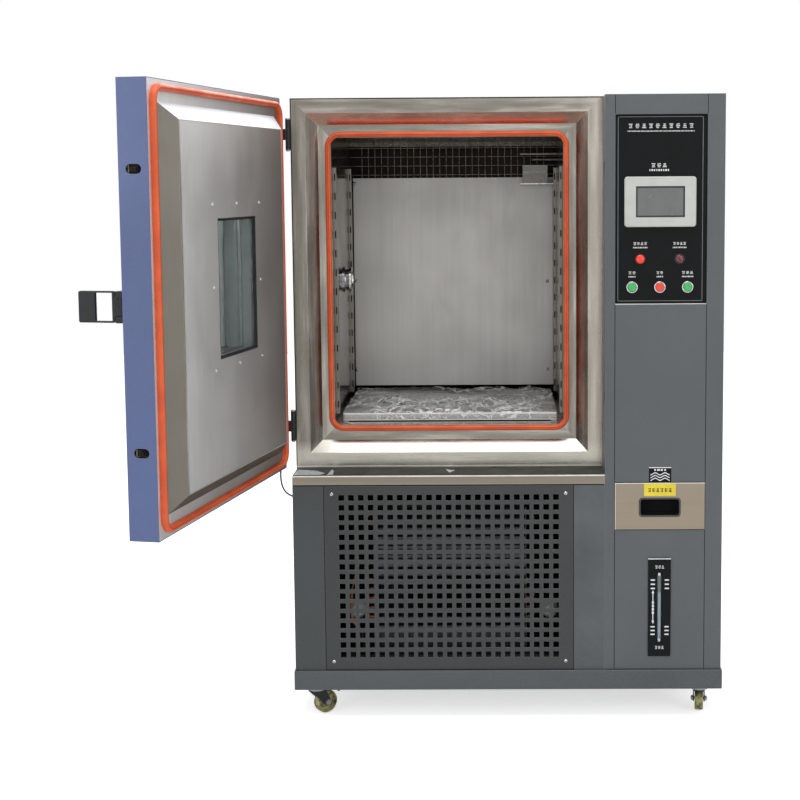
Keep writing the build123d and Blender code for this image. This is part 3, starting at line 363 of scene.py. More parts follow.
def silicone(name, colour, deep_colour, pale_colour):
    """Extruded, dyed silicone rubber."""
    scatter = {"Subsurface_Weight": 0.12, "Subsurface_Radius": (1.0, 0.45, 0.2), "Subsurface_Scale": 0.0015}
    material, tree, shader, place = begin(name, IOR=1.41, **scatter)
    dust = add(tree, "TexNoise", {"Vector": place, "Scale": per(60), "Detail": 6})
    fine = add(tree, "TexNoise", {"Vector": place, "Scale": per(1.5), "Detail": 3})
    dusty = add(tree, "MapRange", {0: dust, 1: 0.38, 2: 0.62})
    base = add(tree, "Mix", {0: dusty, 6: colour, 7: deep_colour}, **rgba)
    patches = add(tree, "MapRange", {0: dust, 1: 0.55, 2: 0.75})
    grains = add(tree, "MapRange", {0: fine, 1: 0.45, 2: 0.65, 3: 0, 4: 0.4})
    chalky = add(tree, "Math", {0: patches, 1: grains}, operation="MULTIPLY")
    skin = add(tree, "Mix", {0: chalky, 6: base, 7: pale_colour}, **rgba)
    satin = add(tree, "MapRange", {0: dust, 1: 0.3, 2: 0.7, 3: 0.34, 4: 0.52})
    sockets = {"Height": fine, "Distance": 0.0001, "Strength": 0.4}
    fill(shader, Base_Color=skin, Roughness=satin, Normal=add(tree, "Bump", sockets))
    return material


seal_silicone = silicone("silicone_orange", "#DC6035", "#CC5229", "#EE9C7C")
# A darker orange, painted shade for the seals' creases.
seal_shade_silicone = silicone("silicone_orange_painted_shade", "#A03E1C", "#8A3014", "#B4532E")
print("silicone made")

# %% [markdown]
# ## Moulded plastics, rubber and print
#
# The controller's bezel is ABS, moulded against a spark-eroded tool, so its skin has a fine
# matte grain of about half a millimetre. The black parts are filled nylon or PVC. One function
# serves them all, because they differ only in colour, grain and gloss. The white marks are
# screen-printed ink, which is the same idea with a nearly flat surface.

# %% Moulded plastic and ink


def moulded(name, colour, worn_colour, roughness, grain_mm=0.6, bump_mm=0.03, **sockets):
    """A moulded plastic, rubber or printed ink with a fine surface grain."""
    material, tree, shader, place = begin(name, IOR=1.53, **sockets)
    grain = add(tree, "TexNoise", {"Vector": place, "Scale": per(grain_mm), "Detail": 2})
    haze = add(tree, "TexNoise", {"Vector": place, "Scale": per(45), "Detail": 6})
    hazy = add(tree, "MapRange", {0: haze, 1: 0.38, 2: 0.72})
    base = add(tree, "Mix", {0: hazy, 6: colour, 7: worn_colour}, **rgba)
    satin = add(tree, "MapRange", {0: haze, 1: 0.3, 2: 0.7, 3: roughness - 0.05, 4: roughness + 0.08})
    rounded = add(tree, "Bevel", {"Radius": 0.0006}, samples=4)
    sockets = {"Height": grain, "Distance": bump_mm / 1000, "Strength": 0.5, "Normal": rounded}
    fill(shader, Base_Color=base, Roughness=satin, Normal=add(tree, "Bump", sockets))
    return material
matt = {"Specular_IOR_Level": 0.1}
bezel_abs = moulded("abs_pale_grey", "#BBBFB9", "#B0B4AE", 0.45)
black_nylon = moulded("nylon_black", "#1B1C1D", "#2A2B2C", 0.45)
pull_nylon = moulded("nylon_pull_grey", "#3A3D3E", "#2E3031", 0.42)
black_rubber = moulded("epdm_rubber_black", "#17181A", "#26282A", 0.55, 1.2)
cable_pvc = moulded("pvc_cable_black", "#121314", "#202224", 0.40, 0.8)
plate_film = moulded("polycarbonate_film_black", "#121314", "#151617", 0.50, 0.4, 0.01, **matt)
white_ink = moulded("screen_ink_white", "#E8E9EA", "#D2D4D6", 0.50, 0.4, 0.01)
grey_ink = moulded("screen_ink_grey", "#6F7375", "#5E6264", 0.50, 0.4, 0.01)
dark_ink = moulded("screen_ink_black", "#1D1B12", "#2C2A1E", 0.50, 0.4, 0.01)
yellow_vinyl = moulded("vinyl_yellow", "#E3CF35", "#D2BD24", 0.42, 0.5, 0.01)
lcd_glass = moulded("display_glass_grey", "#646565", "#5E5F60", 0.22, 0.3, 0.004, Coat_Weight=0.5)
lcd_border = moulded("display_border", "#262B31", "#1D2126", 0.35)
# Black for holes and hollows is painted shade.
painted_shadow_black = moulded("shadow_black", "#08090A", "#0E0F10", 0.80, **matt)
seam_shadow = moulded("seam_shadow", "#222627", "#2A2E2F", 0.80, **matt)
lining_paint = moulded("painted_lining_grey", "#B7C2C3", "#A5B0B1", 0.40, 1.5, 0.02)
print("plastics and inks made: 15")

# %% [markdown]
# The lamp lenses and button caps are acrylic and polycarbonate, clear or dyed right through, so
# light goes in and comes out again a little further on. The green and red button caps are opaque
# enough for subsurface scattering alone, and the lamps' lenses also let some light through.

# %% Dyed acrylic


def acrylic(name, colour, deep_colour, clear=0.0, glow=0.0):
    """Injection moulded, dyed acrylic, glossy, with a little light scattered inside."""
    depth = {"Subsurface_Weight": 0.3, "Subsurface_Scale": 0.002, "Transmission_Weight": clear}
    material, tree, shader, place = begin(name, IOR=1.49, Coat_Weight=0.4, **depth)
    swirl = add(tree, "TexNoise", {"Vector": place, "Scale": per(9), "Detail": 4})
    swirled = add(tree, "MapRange", {0: swirl, 1: 0.35, 2: 0.7})
    dye = add(tree, "Mix", {0: swirled, 6: colour, 7: deep_colour}, **rgba)
    gloss = add(tree, "MapRange", {0: swirl, 1: 0.3, 2: 0.7, 3: 0.16, 4: 0.3})
    fill(shader, Base_Color=dye, Roughness=gloss)
    if glow:
        shader.inputs["Emission Color"].default_value = linear(colour)
        shader.inputs["Emission Strength"].default_value = glow
    return material


green_acrylic = acrylic("acrylic_green", "#3FB860", "#34A854")
red_acrylic = acrylic("acrylic_red", "#EA4A30", "#DB3A22")
lamp_acrylic = acrylic("acrylic_lamp_red", "#F03A28", "#DC2818", 0.1, 0.25)
maroon_acrylic = acrylic("acrylic_lamp_maroon", "#7C1D34", "#5A1024", 0.25)
print("acrylics made: 4")

# %% [markdown]
# ## Glass, plated steel, zinc, copper and polyurethane
#
# Window panes are float glass: IOR 1.52, almost no roughness, and a faint green from the iron in
# it. Small fasteners and rings are chromium or zinc plated, the coil fins are bare aluminium, the
# pipes are copper that has begun to darken, and the wheels are amber polyurethane, which is
# translucent and shows scuffs where it rolls.

# %% Glass and metals


def plated(name, colour, patch_colour, roughness, spot_mm=6.0, bump_mm=0.02):
    """A bare or plated metal with patches where it has dulled."""
    material, tree, shader, place = begin(name, Metallic=1.0)
    spots = add(tree, "TexNoise", {"Vector": place, "Scale": per(spot_mm), "Detail": 6})
    grit = add(tree, "TexNoise", {"Vector": place, "Scale": per(0.9), "Detail": 2})
    darkened = add(tree, "MapRange", {0: spots, 1: 0.38, 2: 0.68})
    tone = add(tree, "Mix", {0: darkened, 6: colour, 7: patch_colour}, **rgba)
    gloss = add(tree, "MapRange", {0: spots, 1: 0.3, 2: 0.7, 3: roughness, 4: roughness + 0.14})
    rounded = add(tree, "Bevel", {"Radius": 0.0006}, samples=4)
    sockets = {"Height": grit, "Distance": bump_mm / 1000, "Strength": 0.5, "Normal": rounded}
    fill(shader, Base_Color=tone, Roughness=gloss, Normal=add(tree, "Bump", sockets))
    return material


chrome = plated("chromium_plate", "#C9CACB", "#AEB0B1", 0.10)
zinc = plated("zinc_plate", "#A9ABAC", "#8D8F92", 0.28)
galvanised = plated("galvanised_sheet", "#9DA1A4", "#83888C", 0.34, 22)
aluminium = plated("aluminium_fins", "#75787A", "#4C4F50", 0.36, 12)
# Bright metal for thin bars that are painted highlights on folded edges.
highlight_steel = plated("stainless_fold_highlight", "#E9E6DF", "#D6D2C9", 0.30, 40)
copper = plated("copper_pipe", "#B87050", "#7C4430", 0.30, 18)
wire_steel = plated("wire_guard", "#6E6961", "#4A4640", 0.38)
# Dark metal is painted shade on the fan, the evaporator and the latch parts, deep in shadow.
shade_dark_metal = plated("dark_steel_painted_shade", "#2B2A28", "#1C1B1A", 0.42)
print("metals made: 8")

# %% Glass panes, polyurethane and foam
clear = {"IOR": 1.52, "Transmission_Weight": 1.0, "Specular_IOR_Level": 0.3}
float_glass, tree, shader, place = begin("float_glass", **clear)
film = add(tree, "TexNoise", {"Vector": place, "Scale": per(90), "Detail": 6})
filmed = add(tree, "MapRange", {0: film, 1: 0.35, 2: 0.7})
tint = add(tree, "Mix", {0: filmed, 6: "#F3F7F6", 7: "#EAF0EF"}, **rgba)
gloss = add(tree, "MapRange", {0: film, 1: 0.4, 2: 0.75, 3: 0.01, 4: 0.07})
fill(shader, Base_Color=tint, Roughness=gloss)

scatter = {"Subsurface_Weight": 0.5, "Subsurface_Radius": (1.0, 0.8, 0.3), "Subsurface_Scale": 0.006}
polyurethane, tree, shader, place = begin("polyurethane_amber", IOR=1.5, **scatter)
scuff = add(tree, "TexNoise", {"Vector": place, "Scale": per(14), "Detail": 8})
scuffed = add(tree, "MapRange", {0: scuff, 1: 0.42, 2: 0.6})
tone = add(tree, "Mix", {0: scuffed, 6: "#A9A673", 7: "#574D28"}, **rgba)
gloss = add(tree, "MapRange", {0: scuff, 1: 0.35, 2: 0.7, 3: 0.22, 4: 0.5})
sockets = {"Height": scuff, "Distance": 0.0004, "Strength": 0.5}
fill(shader, Base_Color=tone, Roughness=gloss, Normal=add(tree, "Bump", sockets))

clear_tube, tree, shader, place = begin("borosilicate_tube", IOR=1.47, Alpha=0.22, Roughness=0.06)
streak = add(tree, "TexNoise", {"Vector": place, "Scale": per(20), "Detail": 4})
fill(shader, Base_Color=add(tree, "Mix", {0: streak, 6: "#DDE4E8", 7: "#B9C4CB"}, **rgba))

ledge_dark_sheet = moulded("ledge_top_dark", "#444643", "#3A3C39", 0.60, 2.6, 0.05, **matt)
scrap_film = moulded("polyethylene_scrap", "#AEBBC2", "#98A3A6", 0.25, 2.0, 0.02)
foam = moulded("polyurethane_foam", "#D8C89A", "#BFA972", 0.85, 3.0, 0.6)
enamel = moulded("compressor_enamel", "#131415", "#1E2021", 0.22, 8.0, 0.05)
print("glass, polyurethane, foam and enamel made")

# %% [markdown]
# ## Giving each solid its finish
#
# One table maps finishes to the solids that have them. The solids' shapes stay as they are, so
# all that changes is what fills their material slots.

# %% Finishes for the solids
finishes = {
    grey_coat: "left_side_panel right_side_panel top_panel rear_panel column_front",
    plinth_coat: "base_frame",
    lower_shaded_coat: "grille_panel",
    posts_shaded_coat: "lower_front_frame",
    blue_coat: "door_shell",
    black_coat: "hinge_frame_leaves door_hardware handle caster_plates",
    frame_steel: "chamber_front_frame",
    liner_steel: "chamber_liner heater_coil",
    rail_steel: "shelf_standards wet_bulb_set",
    baffle_steel: "back_baffle",
    plug_steel: "door_plug",
    sill_steel: "ledge_sill",
    drawer_steel: "water_drawer",
    shelf_steel: "shelf",
    wire_steel: "outlet_grille",
    seal_silicone: "frame_gasket door_gasket",
    foam: "chamber_insulation door_insulation",
    galvanised: "drawer_runners",
    shade_dark_metal: "circulation_fan evaporator latch_bolts",
    aluminium: "condenser",
    zinc: "fan_motor",
    chrome: "cable_port panel_rings",
    enamel: "compressor",
    black_nylon: "condenser_fan",
    plate_film: "control_panel gauge_plate",
    bezel_abs: "controller_bezel",
    lcd_glass: "controller_screen",
    float_glass: "window_panes",
    clear_tube: "gauge_tube",
    lining_paint: "window_frame",
    cable_pvc: "door_cable",
    lamp_acrylic: "pilot_lights",
    green_acrylic: "run_button light_button",
    red_acrylic: "stop_button",
}
corners = ("front_left", "front_right", "rear_left", "rear_right")
for corner in corners:
    finishes[black_coat] += f" caster_fork_{corner}"
finishes[polyurethane] = " ".join(f"caster_wheel_{corner}" for corner in corners)
done = 0
for finish, names in finishes.items():
    for name in names.split():
        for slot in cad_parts[name].material_slots:
            slot.material = finish
        done += 1
print("solids finished:", done, "of", len(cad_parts), "with shelf_film left to a mesh")

# %% [markdown]
# ## Helpers for meshes
#
# Small parts are built with bmesh, vertex by vertex. A turned part, such as a screw head or a
# lens, is a profile swept round an axis. A printed mark is a thin raised outline. Parts on the
# door are drawn as if the door were shut, where the numbers are easy, and swung open with it.

# %% Helpers for meshes
mm = 0.001
swing = Matrix.Translation(door_pin) @ Matrix.Rotation(open_turn, 4, "Z") @ Matrix.Translation(-door_pin)


def ring_at(bm, outline, y):
    """The corners of an outline drawn in X and Z, at a depth y, all in mm."""
    return [bm.verts.new((x * mm, y * mm, z * mm)) for x, z in outline]


def bridge(bm, low, high, finish=0, smooth=False):
    """Faces all the way round between two rings with the same number of corners."""
    for i in range(len(low)):
        j = (i + 1) % len(low)
        face = bm.faces.new((low[i], low[j], high[j], high[i]))
        face.material_index = finish
        face.smooth = smooth


def turned(bm, profile, centre, axis, steps=24, finish=0, shape=None):
    """Sweeps a profile of (radius, height) in mm about an axis through a centre in mm."""
    axis = Vector(axis).normalized()
    side = Vector((0, 0, 1)) if abs(axis.z) < 0.5 else Vector((1, 0, 0))
    across = axis.cross(side)
    rings = []
    for radius, height in profile:
        ring = []
        for i in range(steps if radius else 1):
            turn = 2 * math.pi * i / steps
            r, h = shape(radius, height, turn) if shape else (radius, height)
            arm = side * math.cos(turn) + across * math.sin(turn)
            ring.append(bm.verts.new((Vector(centre) + axis * h + arm * r) * mm))
        rings.append(ring)
    for low, high in zip(rings, rings[1:]):
        for i in range(steps):
            j = (i + 1) % steps
            loop = [low[i % len(low)], low[j % len(low)], high[j % len(high)], high[i % len(high)]]
            loop = list(dict.fromkeys(loop))
            if len(loop) > 2:
                face = bm.faces.new(loop)
                face.material_index = finish
                face.smooth = True


def raised(bm, outline, y0, y1, finish=0):
    """A flat shape drawn in X and Z, in mm, standing from y0 out to y1."""
    back, front = ring_at(bm, outline, y0), ring_at(bm, outline, y1)
    for face in (bm.faces.new(front), bm.faces.new(back[::-1])):
        face.material_index = finish
    bridge(bm, back, front, finish)


def box_outline(x, z, w, h, r=0.0, steps=4):
    """A rectangle about a middle, with rounded corners where r isn't 0."""
    points = []
    for cx, cz, start in ((1, 1, 0), (-1, 1, 90), (-1, -1, 180), (1, -1, 270)):
        for i in range(steps + 1 if r else 1):
            turn = math.radians(start + 90 * i / steps)
            along = cx * (w / 2 - r) + r * math.cos(turn)
            rise = cz * (h / 2 - r) + r * math.sin(turn)
            points.append((x + along, z + rise))
    return points


def make(name, bm, body, finishes, place=None, split=35.0):
    """Turns a bmesh into a piece that rides on a body."""
    if place is not None:
        bmesh.ops.transform(bm, matrix=place, verts=bm.verts)
    bmesh.ops.recalc_face_normals(bm, faces=bm.faces)
    mesh = bpy.data.meshes.new(name)
    bm.to_mesh(mesh)
    bm.free()
    for finish in finishes:
        mesh.materials.append(finish)
    piece = bpy.data.objects.new(name, mesh)
    bpy.context.scene.collection.objects.link(piece)
    for edge in mesh.edges:
        edge.use_edge_sharp = False
    mesh.set_sharp_from_angle(angle=math.radians(split))
    if body:
        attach(piece, body)
    return piece


print("one printed mark has", len(box_outline(0, 0, 1, 1, 0.2)), "outline points")

# %% [markdown]
# ## The cable at the hinge
#
# A black cable crosses from the cabinet to the door. It leaves the cabinet's side just below the
# door, bows out and goes up into the door's lower edge, about 95 mm of free cable. It's drawn as
# a NURBS curve whose control points are the bend points of the route, because a NURBS never
# passes through its corners and so bends as a stiff cable does. A tube then follows the curve.

# %% Door cable
route = [(-0.4007, 0.036, 0.583), (-0.441, 0.044, 0.590), (-0.438, 0.066, 0.649)]
curve = bpy.data.curves.new("door_cable_route", "CURVE")
curve.dimensions = "3D"
curve.resolution_u = 24
spline = curve.splines.new("NURBS")
spline.points.add(len(route) - 1)
for point, at in zip(spline.points, route):
    point.co = (*at, 1)
spline.order_u = 3
spline.use_endpoint_u = True
curve_object = bpy.data.objects.new("door_cable_route", curve)
bpy.context.scene.collection.objects.link(curve_object)
bpy.context.view_layer.update()
followed = bpy.data.meshes.new_from_object(curve_object)
line = [v.co.copy() for v in followed.vertices]
bpy.data.objects.remove(curve_object)
followed_m = sum((b - a).length for a, b in zip(line, line[1:]))
print("cable follows", len(line), "points,", round(followed_m, 4), "m")


def tube(bm, line, radius, steps=12, finish=0, ends=True):
    """A round tube along a line of points in metres, with flat ends."""
    side = None
    rings = []
    for i, at in enumerate(line):
        ahead = (line[min(i + 1, len(line) - 1)] - line[max(i - 1, 0)]).normalized()
        if side is None:
            side = ahead.orthogonal()
        side = (side - ahead * side.dot(ahead)).normalized()
        across = ahead.cross(side)
        turns = [2 * math.pi * k / steps for k in range(steps)]
        arms = [side * math.cos(turn) + across * math.sin(turn) for turn in turns]
        rings.append([bm.verts.new(at + arm * radius) for arm in arms])
    for low, high in zip(rings, rings[1:]):
        bridge(bm, low, high, finish, True)
    if ends:
        bm.faces.new(rings[0][::-1]).material_index = finish
        bm.faces.new(rings[-1]).material_index = finish


bm = bmesh.new()
tube(bm, line, 2.25 * mm, 16)
cable = make("door_cable_sheath", bm, None, [cable_pvc])
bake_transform(cable)
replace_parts(cable, "door_cable")
print("cable made")

# %% [markdown]
# ## Screws
#
# Pan-head screws with a cross recess hold the grille panel, the air baffle, the strip over the
# outlet and the window's frame. The head is a turned dome, and the cross is pressed into it by
# lowering the points near its two arms.

# %% Screws


def screw(bm, centre, axis, radius):
    """A pan head with a cross recess, seated at a centre and facing along an axis."""

    def pressed(r, h, turn):
        off = min(abs(math.sin(turn)), abs(math.cos(turn))) * r
        return r, h - (0.38 * radius if r < 0.62 * radius and off < 0.13 * radius else 0)

    dome = [(0, 0.52), (0.22, 0.52), (0.45, 0.49), (0.60, 0.45), (0.66, 0.43)]
    rim = [(0.85, 0.30), (1.0, 0.12), (1.0, -0.05)]
    profile = [(r * radius, h * radius) for r, h in dome + rim]
    turned(bm, profile, centre, axis, 24, 0, pressed)


def screws(name, body, centres, axis, radius, finish, place=None):
    """A set of the same screws as one piece."""
    bm = bmesh.new()
    for centre in centres:
        screw(bm, centre, axis, radius)
    return make(name, bm, body, [finish], place)


front = (0, -1, 0)
grille_spots = [(x, 0, z) for x in (-300, 300) for z in (155, 596)]
screws("grille_screws", "cabinet", grille_spots, front, 4.6, chrome)
spots = [(-289, 615, 1388), (-287, 615, 1101), (276, 615, 1098), (-289, 615, 837), (276, 615, 836)]
screws("baffle_screws", "cabinet", spots, front, 5.0, chrome)
strip_spots = [(x, 613.5, 1500) for x in (-180, -30, 120)]
screws("outlet_strip_screws", "cabinet", strip_spots, front, 3.2, zinc)
window_z, panel_y = 1156, 100.5
ring = [(x, panel_y, window_z + z) for x in (-145.5, 145.5) for z in (189, 5, -179)]
ring += [(0, panel_y, window_z + z) for z in (189, -179)]
screws("window_screws", "door", ring, (0, 1, 0), 4.2, chrome, swing)
print("screws made:", len(grille_spots + spots + strip_spots + ring))

# %% [markdown]
# ## Printed marks
#
# The real plates carry lettering. Here its places hold plain bars of the same size, so that the
# plate keeps its balance of black and white without saying anything. A row is a run of small
# blocks: the gaps between them are what makes a row read as print from across the room.

# %% Printed marks


def row(bm, x0, x1, z, height, count, y, finish=0, gap=0.28, lift=0.12):
    """A row of small marks standing for a line of print: three bars and an upright where they are tall."""
    pitch = (x1 - x0) / count
    tall = height > 6.5
    for i in range(count):
        wide, x = pitch * (1 - gap), x0 + pitch * (i + 0.5)
        for at in (-0.39, 0.0, 0.39) if tall else (0,):
            span = wide * (0.62, 1.0, 0.8)[(i + round(at * 3)) % 3]
            bar = box_outline(x, z + at * height, span, height * (0.2 if tall else 0.8))
            raised(bm, bar, y + 0.02, y - lift, finish)
        if tall:
            stroke = box_outline(x + wide * (0.2, -0.25, 0)[i % 3], z, wide * 0.18, height)
            raised(bm, stroke, y + 0.02, y - lift, finish)


plate_y = 5.0
bm = bmesh.new()
row(bm, 455, 624, 1527, 11, 10, plate_y, gap=0.42)
row(bm, 455, 624, 1514, 3.4, 46, plate_y)
row(bm, 514, 556, 1429, 10, 3, plate_y, gap=0.30)
row(bm, 509, 561, 1417, 6, 9, plate_y)
for x, wide in ((488.5, 36), (587.5, 34)):
    row(bm, x - wide / 2, x + wide / 2, 1233, 7, 4, plate_y, gap=0.22)
    row(bm, x - wide / 2 - 1, x + wide / 2 + 1, 1223, 4.2, 9, plate_y)
for x, wide in ((468, 20), (538, 18), (608, 30)):
    row(bm, x - wide / 2, x + wide / 2, 1159.5, 7, 2 if wide < 25 else 3, plate_y, gap=0.22)
    row(bm, x - wide / 2, x + wide / 2, 1149.5, 4.2, 4 if wide < 25 else 8, plate_y)
make("control_print", bm, "cabinet", [white_ink])

bm = bmesh.new()
left, right, low, high = 431.5, 645.5, 1087.5, 1550.5
line_width = 1.6
for x0, x1, z0, z1 in (
    (left, left + line_width, low, high),
    (right - line_width, right, low, high),
    (left, right, low, low + line_width),
    (left, right, high - line_width, high),
):
    raised(bm, [(x0, z0), (x1, z0), (x1, z1), (x0, z1)], plate_y + 0.02, plate_y - 0.10)
make("control_outline", bm, "cabinet", [grey_ink])
print("control plate printed")

# %% [markdown]
# The small black square above the drawer shows three waves, the usual sign for water. Each wave
# is a band of even width that follows a sine. The drawer wears a plain yellow label.

# %% Wave sign and yellow label


def wave(bm, x0, x1, z, height, thick, y, finish):
    """A band that follows two periods of a wave."""
    top, low = [], []
    for i in range(33):
        x = x0 + (x1 - x0) * i / 32
        rise = height * math.cos(4 * math.pi * i / 32 + math.pi)
        top.append((x, z + rise + thick / 2))
        low.append((x, z + rise - thick / 2))
    for i in range(32):
        raised(bm, [low[i], low[i + 1], top[i + 1], top[i]], y + 0.02, y - 0.15, finish)


bm = bmesh.new()
raised(bm, box_outline(541, 643.5, 57, 38.5, 0.8), 0.0, -0.25, 0)
raised(bm, box_outline(541, 661.6, 57, 2.2), -0.2, -0.40, 1)
row(bm, 524, 558, 655.5, 5.5, 4, -0.25, 1, 0.2)
for z in (645.5, 638.5, 631.5):
    wave(bm, 516.5, 565.5, z, 2.7, 2.6, -0.25, 1)
make("wave_sign", bm, "cabinet", [plate_film, white_ink])

bm = bmesh.new()
raised(bm, box_outline(540.5, 604.5, 81, 32, 0.5), -2.0, -2.2, 0)
row(bm, 509, 572, 603.5, 9.5, 6, -2.2, 1, 0.22, 0.1)
make("drawer_label", bm, "water_drawer", [yellow_vinyl, dark_ink])
print("signs made")

# %% [markdown]
# ## Seams and painted edge highlights
#
# The column's stiles, the panels between them and the grille panel are separate folded sheets,
# and the gaps between them are dark hairlines. A real gap is about a millimetre, less than half a
# pixel in this picture, so each is drawn as a dark band about 2 mm wide. The stainless strips end
# in a tight fold that catches the light, and that light is a painted highlight: a thin bar of
# bright metal.

# %% Seams and painted edge highlights


def band(bm, x0, x1, z0, z1, y, lift=0.06, finish=0):
    """A thin flat bar between two x and two z values, just proud of a front."""
    raised(bm, [(x0, z0), (x1, z0), (x1, z1), (x0, z1)], y + 0.02, y - lift, finish)


cabinet_y, frame_y, drawer_y = 0, 85, -2.0
column = (425, 656)
bm = bmesh.new()
for x in column:
    for z0, z1 in ((1558, 1604), (134, 498.5), (624.5, 1081)):
        band(bm, x - 0.9, x + 0.9, z0, z1, cabinet_y)
for x in (-320.3, 320.3):
    band(bm, x - 1.1, x + 1.1, 133, 618, cabinet_y)
for x0, x1, z0, z1 in (
    (-320, 320, 132.4, 134.4),
    (-398, 398, 617.0, 619.6),
    (*column, 622.4, 624.2),
    (*column, 499.6, 501.6),
    (402, 698, 132.2, 133.2),
):
    band(bm, x0, x1, z0, z1, cabinet_y)
band(bm, -399.8, 399.8, 1602.8, 1605.8, frame_y)
band(bm, -399.8, -397.2, 652, 1602.8, frame_y)
make("seams", bm, "cabinet", [seam_shadow])

# Painted highlights on the sill's top edge, the frame's foot and the column.
bm = bmesh.new()
band(bm, -399.6, 399.6, 640.6, 644.0, cabinet_y, 0.12)
band(bm, -399, 399, 650.0, 653.6, frame_y, 0.12)
band(bm, 425.5, 655.5, 1079.6, 1081.6, cabinet_y, 0.10)
make("fold_highlights", bm, "cabinet", [highlight_steel])
# Painted highlights on the drawer's top and left edges.
bm = bmesh.new()
band(bm, 426, 655, 620.6, 622.4, drawer_y, 0.12)
band(bm, 426, 427.4, 501.8, 620.6, drawer_y, 0.12)
make("drawer_edge_highlights", bm, "water_drawer", [highlight_steel])

# Painted highlights on the door panel's folded edges, 5 mm wide at the sides and 2 mm at top and bottom.
bm = bmesh.new()
plug_x, plug_z0, plug_z1 = 315.5, 732, 1524
corners_of_panel = [(-plug_x, plug_z0), (plug_x, plug_z0), (plug_x, plug_z1), (-plug_x, plug_z1)]
inner_corners = [(x * (plug_x - 5) / plug_x, z + (2 if z == plug_z0 else -2)) for x, z in corners_of_panel]
for i in range(4):
    j = (i + 1) % 4
    outline = [corners_of_panel[i], corners_of_panel[j], inner_corners[j], inner_corners[i]]
    raised(bm, outline, panel_y - 0.05, panel_y + 0.10)
make("door_panel_fold_highlights", bm, "door", [highlight_steel], swing)

shelf_low, shelf_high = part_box("shelf")
y = shelf_low[1] * 1000
z0, z1 = shelf_low[2] * 1000, shelf_high[2] * 1000
# Painted highlights on the shelf front's folds.
bm = bmesh.new()
band(bm, -284.5, 284.5, z1 - 4.0, z1 - 0.1, y - 2.2, 0.12)
band(bm, -284.5, 284.5, z0 + 0.1, z0 + 3.0, y - 2.2, 0.12)
make("shelf_front_fold_highlights", bm, "shelf", [highlight_steel])
print("seams and edges made; shelf front at y", round(y, 1), "z", round(z0, 1), round(z1, 1))

# %% [markdown]
# ## Water gauge
#
# A glass sight tube stands behind a slot in a black scale plate. The plate is printed with three
# ticks above and below and an arrow between them. Water fills the lower part of the tube, and
# its top is dished where it climbs the glass, so it is a turned profile and not a plain rod.

# %% Water gauge
bm = bmesh.new()
gauge_x, scale_x, y = 540.5, 524, -3.0
for z in (369, 358, 347, 246, 236, 226):
    for x in (523.5, 559.5):
        raised(bm, box_outline(x, z, 11, 3.6, 0.6), y + 0.02, y - 0.12, 0)
raised(bm, box_outline(scale_x, 298, 2.2, 78), y + 0.02, y - 0.12, 0)
for z, way in ((343, 1), (253, -1)):
    arrow = [(scale_x, z), (scale_x - 3.4, z - 9 * way), (scale_x + 3.4, z - 9 * way)]
    raised(bm, arrow[::way], y + 0.02, y - 0.14)
for z in (310, 301, 292, 283):
    raised(bm, box_outline(scale_x, z, 5.6, 5.6, 0.8), y + 0.02, y - 0.16, 0)
row(bm, 529, 553, 403, 8, 3, y, 0, 0.2)
row(bm, 529, 553, 191, 8, 3, y, 0, 0.2)
raised(bm, box_outline(gauge_x, 424.6, 58, 2.4), 0.0, y - 0.2, 0)
make("gauge_print", bm, "cabinet", [white_ink])

gauge_water, tree, shader, place = begin("gauge_water", IOR=1.33, Roughness=0.08)
depth = add(tree, "TexNoise", {"Vector": place, "Scale": per(35), "Detail": 4})
deeper = add(tree, "MapRange", {0: depth, 1: 0.35, 2: 0.7})
fill(shader, Base_Color=add(tree, "Mix", {0: deeper, 6: "#8496A8", 7: "#6E8194"}, **rgba))
bm = bmesh.new()
level = 118
profile = [(0, 0.4), (4.0, 0.4), (4.9, 1.4), (4.9, level + 1.5), (4.3, level)]
profile += [(2.4, level - 0.8), (0, level - 1.0)]
turned(bm, profile, (gauge_x, 3, 216), (0, 0, 1), 24)
make("gauge_water_column", bm, "cabinet", [gauge_water])
bm = bmesh.new()
for z, way in ((214.9, -1), (379.1, 1)):
    profile = [(0, 9), (4.5, 9), (5.4, 8.2), (5.4, 4.5), (5.9, 4.0), (5.9, 0.4), (0, 0.4)]
    turned(bm, profile, (gauge_x, 3, z), (0, 0, way), 24)
make("gauge_fittings", bm, "cabinet", [chrome])
print("gauge made")

# %% [markdown]
# ## Lamps, buttons and the controller
#
# A pilot lamp is a low dome of acrylic with a stepped rim in a turned collar. A push button is a
# nearly flat cap whose edge is rolled over, inside a bright ring with a rounded front. Turning
# profiles gives both, and because a profile is a list of points, the ring's roll is as round as
# needed. The right lamp isn't lit, so its moulded facets show, which lowering every other wedge gives.

# %% Rings, lamps and caps
lamp_x, lamp_z, button_z = (488.5, 587.5), 1194, 1123
buttons = {
    "run_button": (468, green_acrylic),
    "stop_button": (538, red_acrylic),
    "light_button": (608, green_acrylic),
}
dome_edge = [(8.6, 6.0), (10.2, 4.4), (11.0, 2.6), (11.0, -9), (0, -9)]


def rolled(r_in, r_out, tall, steps=6):
    """The front of a ring: a half round between two radii on a straight skirt."""
    middle, half = (r_in + r_out) / 2, (r_out - r_in) / 2
    turns = [math.pi * i / steps for i in range(steps + 1)]
    arc = [(middle + half * math.cos(t), tall + half * 0.8 * math.sin(t)) for t in turns]
    return [(r_out, 0)] + arc + [(r_in, -1.0)]


bm = bmesh.new()
for x, _ in buttons.values():
    turned(bm, rolled(11.15, 14.8, 3.2), (x, plate_y, button_z), front, 40, 0)
for x in lamp_x:
    turned(bm, rolled(11.15, 13.2, 2.0), (x, plate_y, lamp_z), front, 40, 1)
rings = make("bright_rings", bm, "cabinet", [chrome, black_nylon])
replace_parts(rings, "panel_rings")

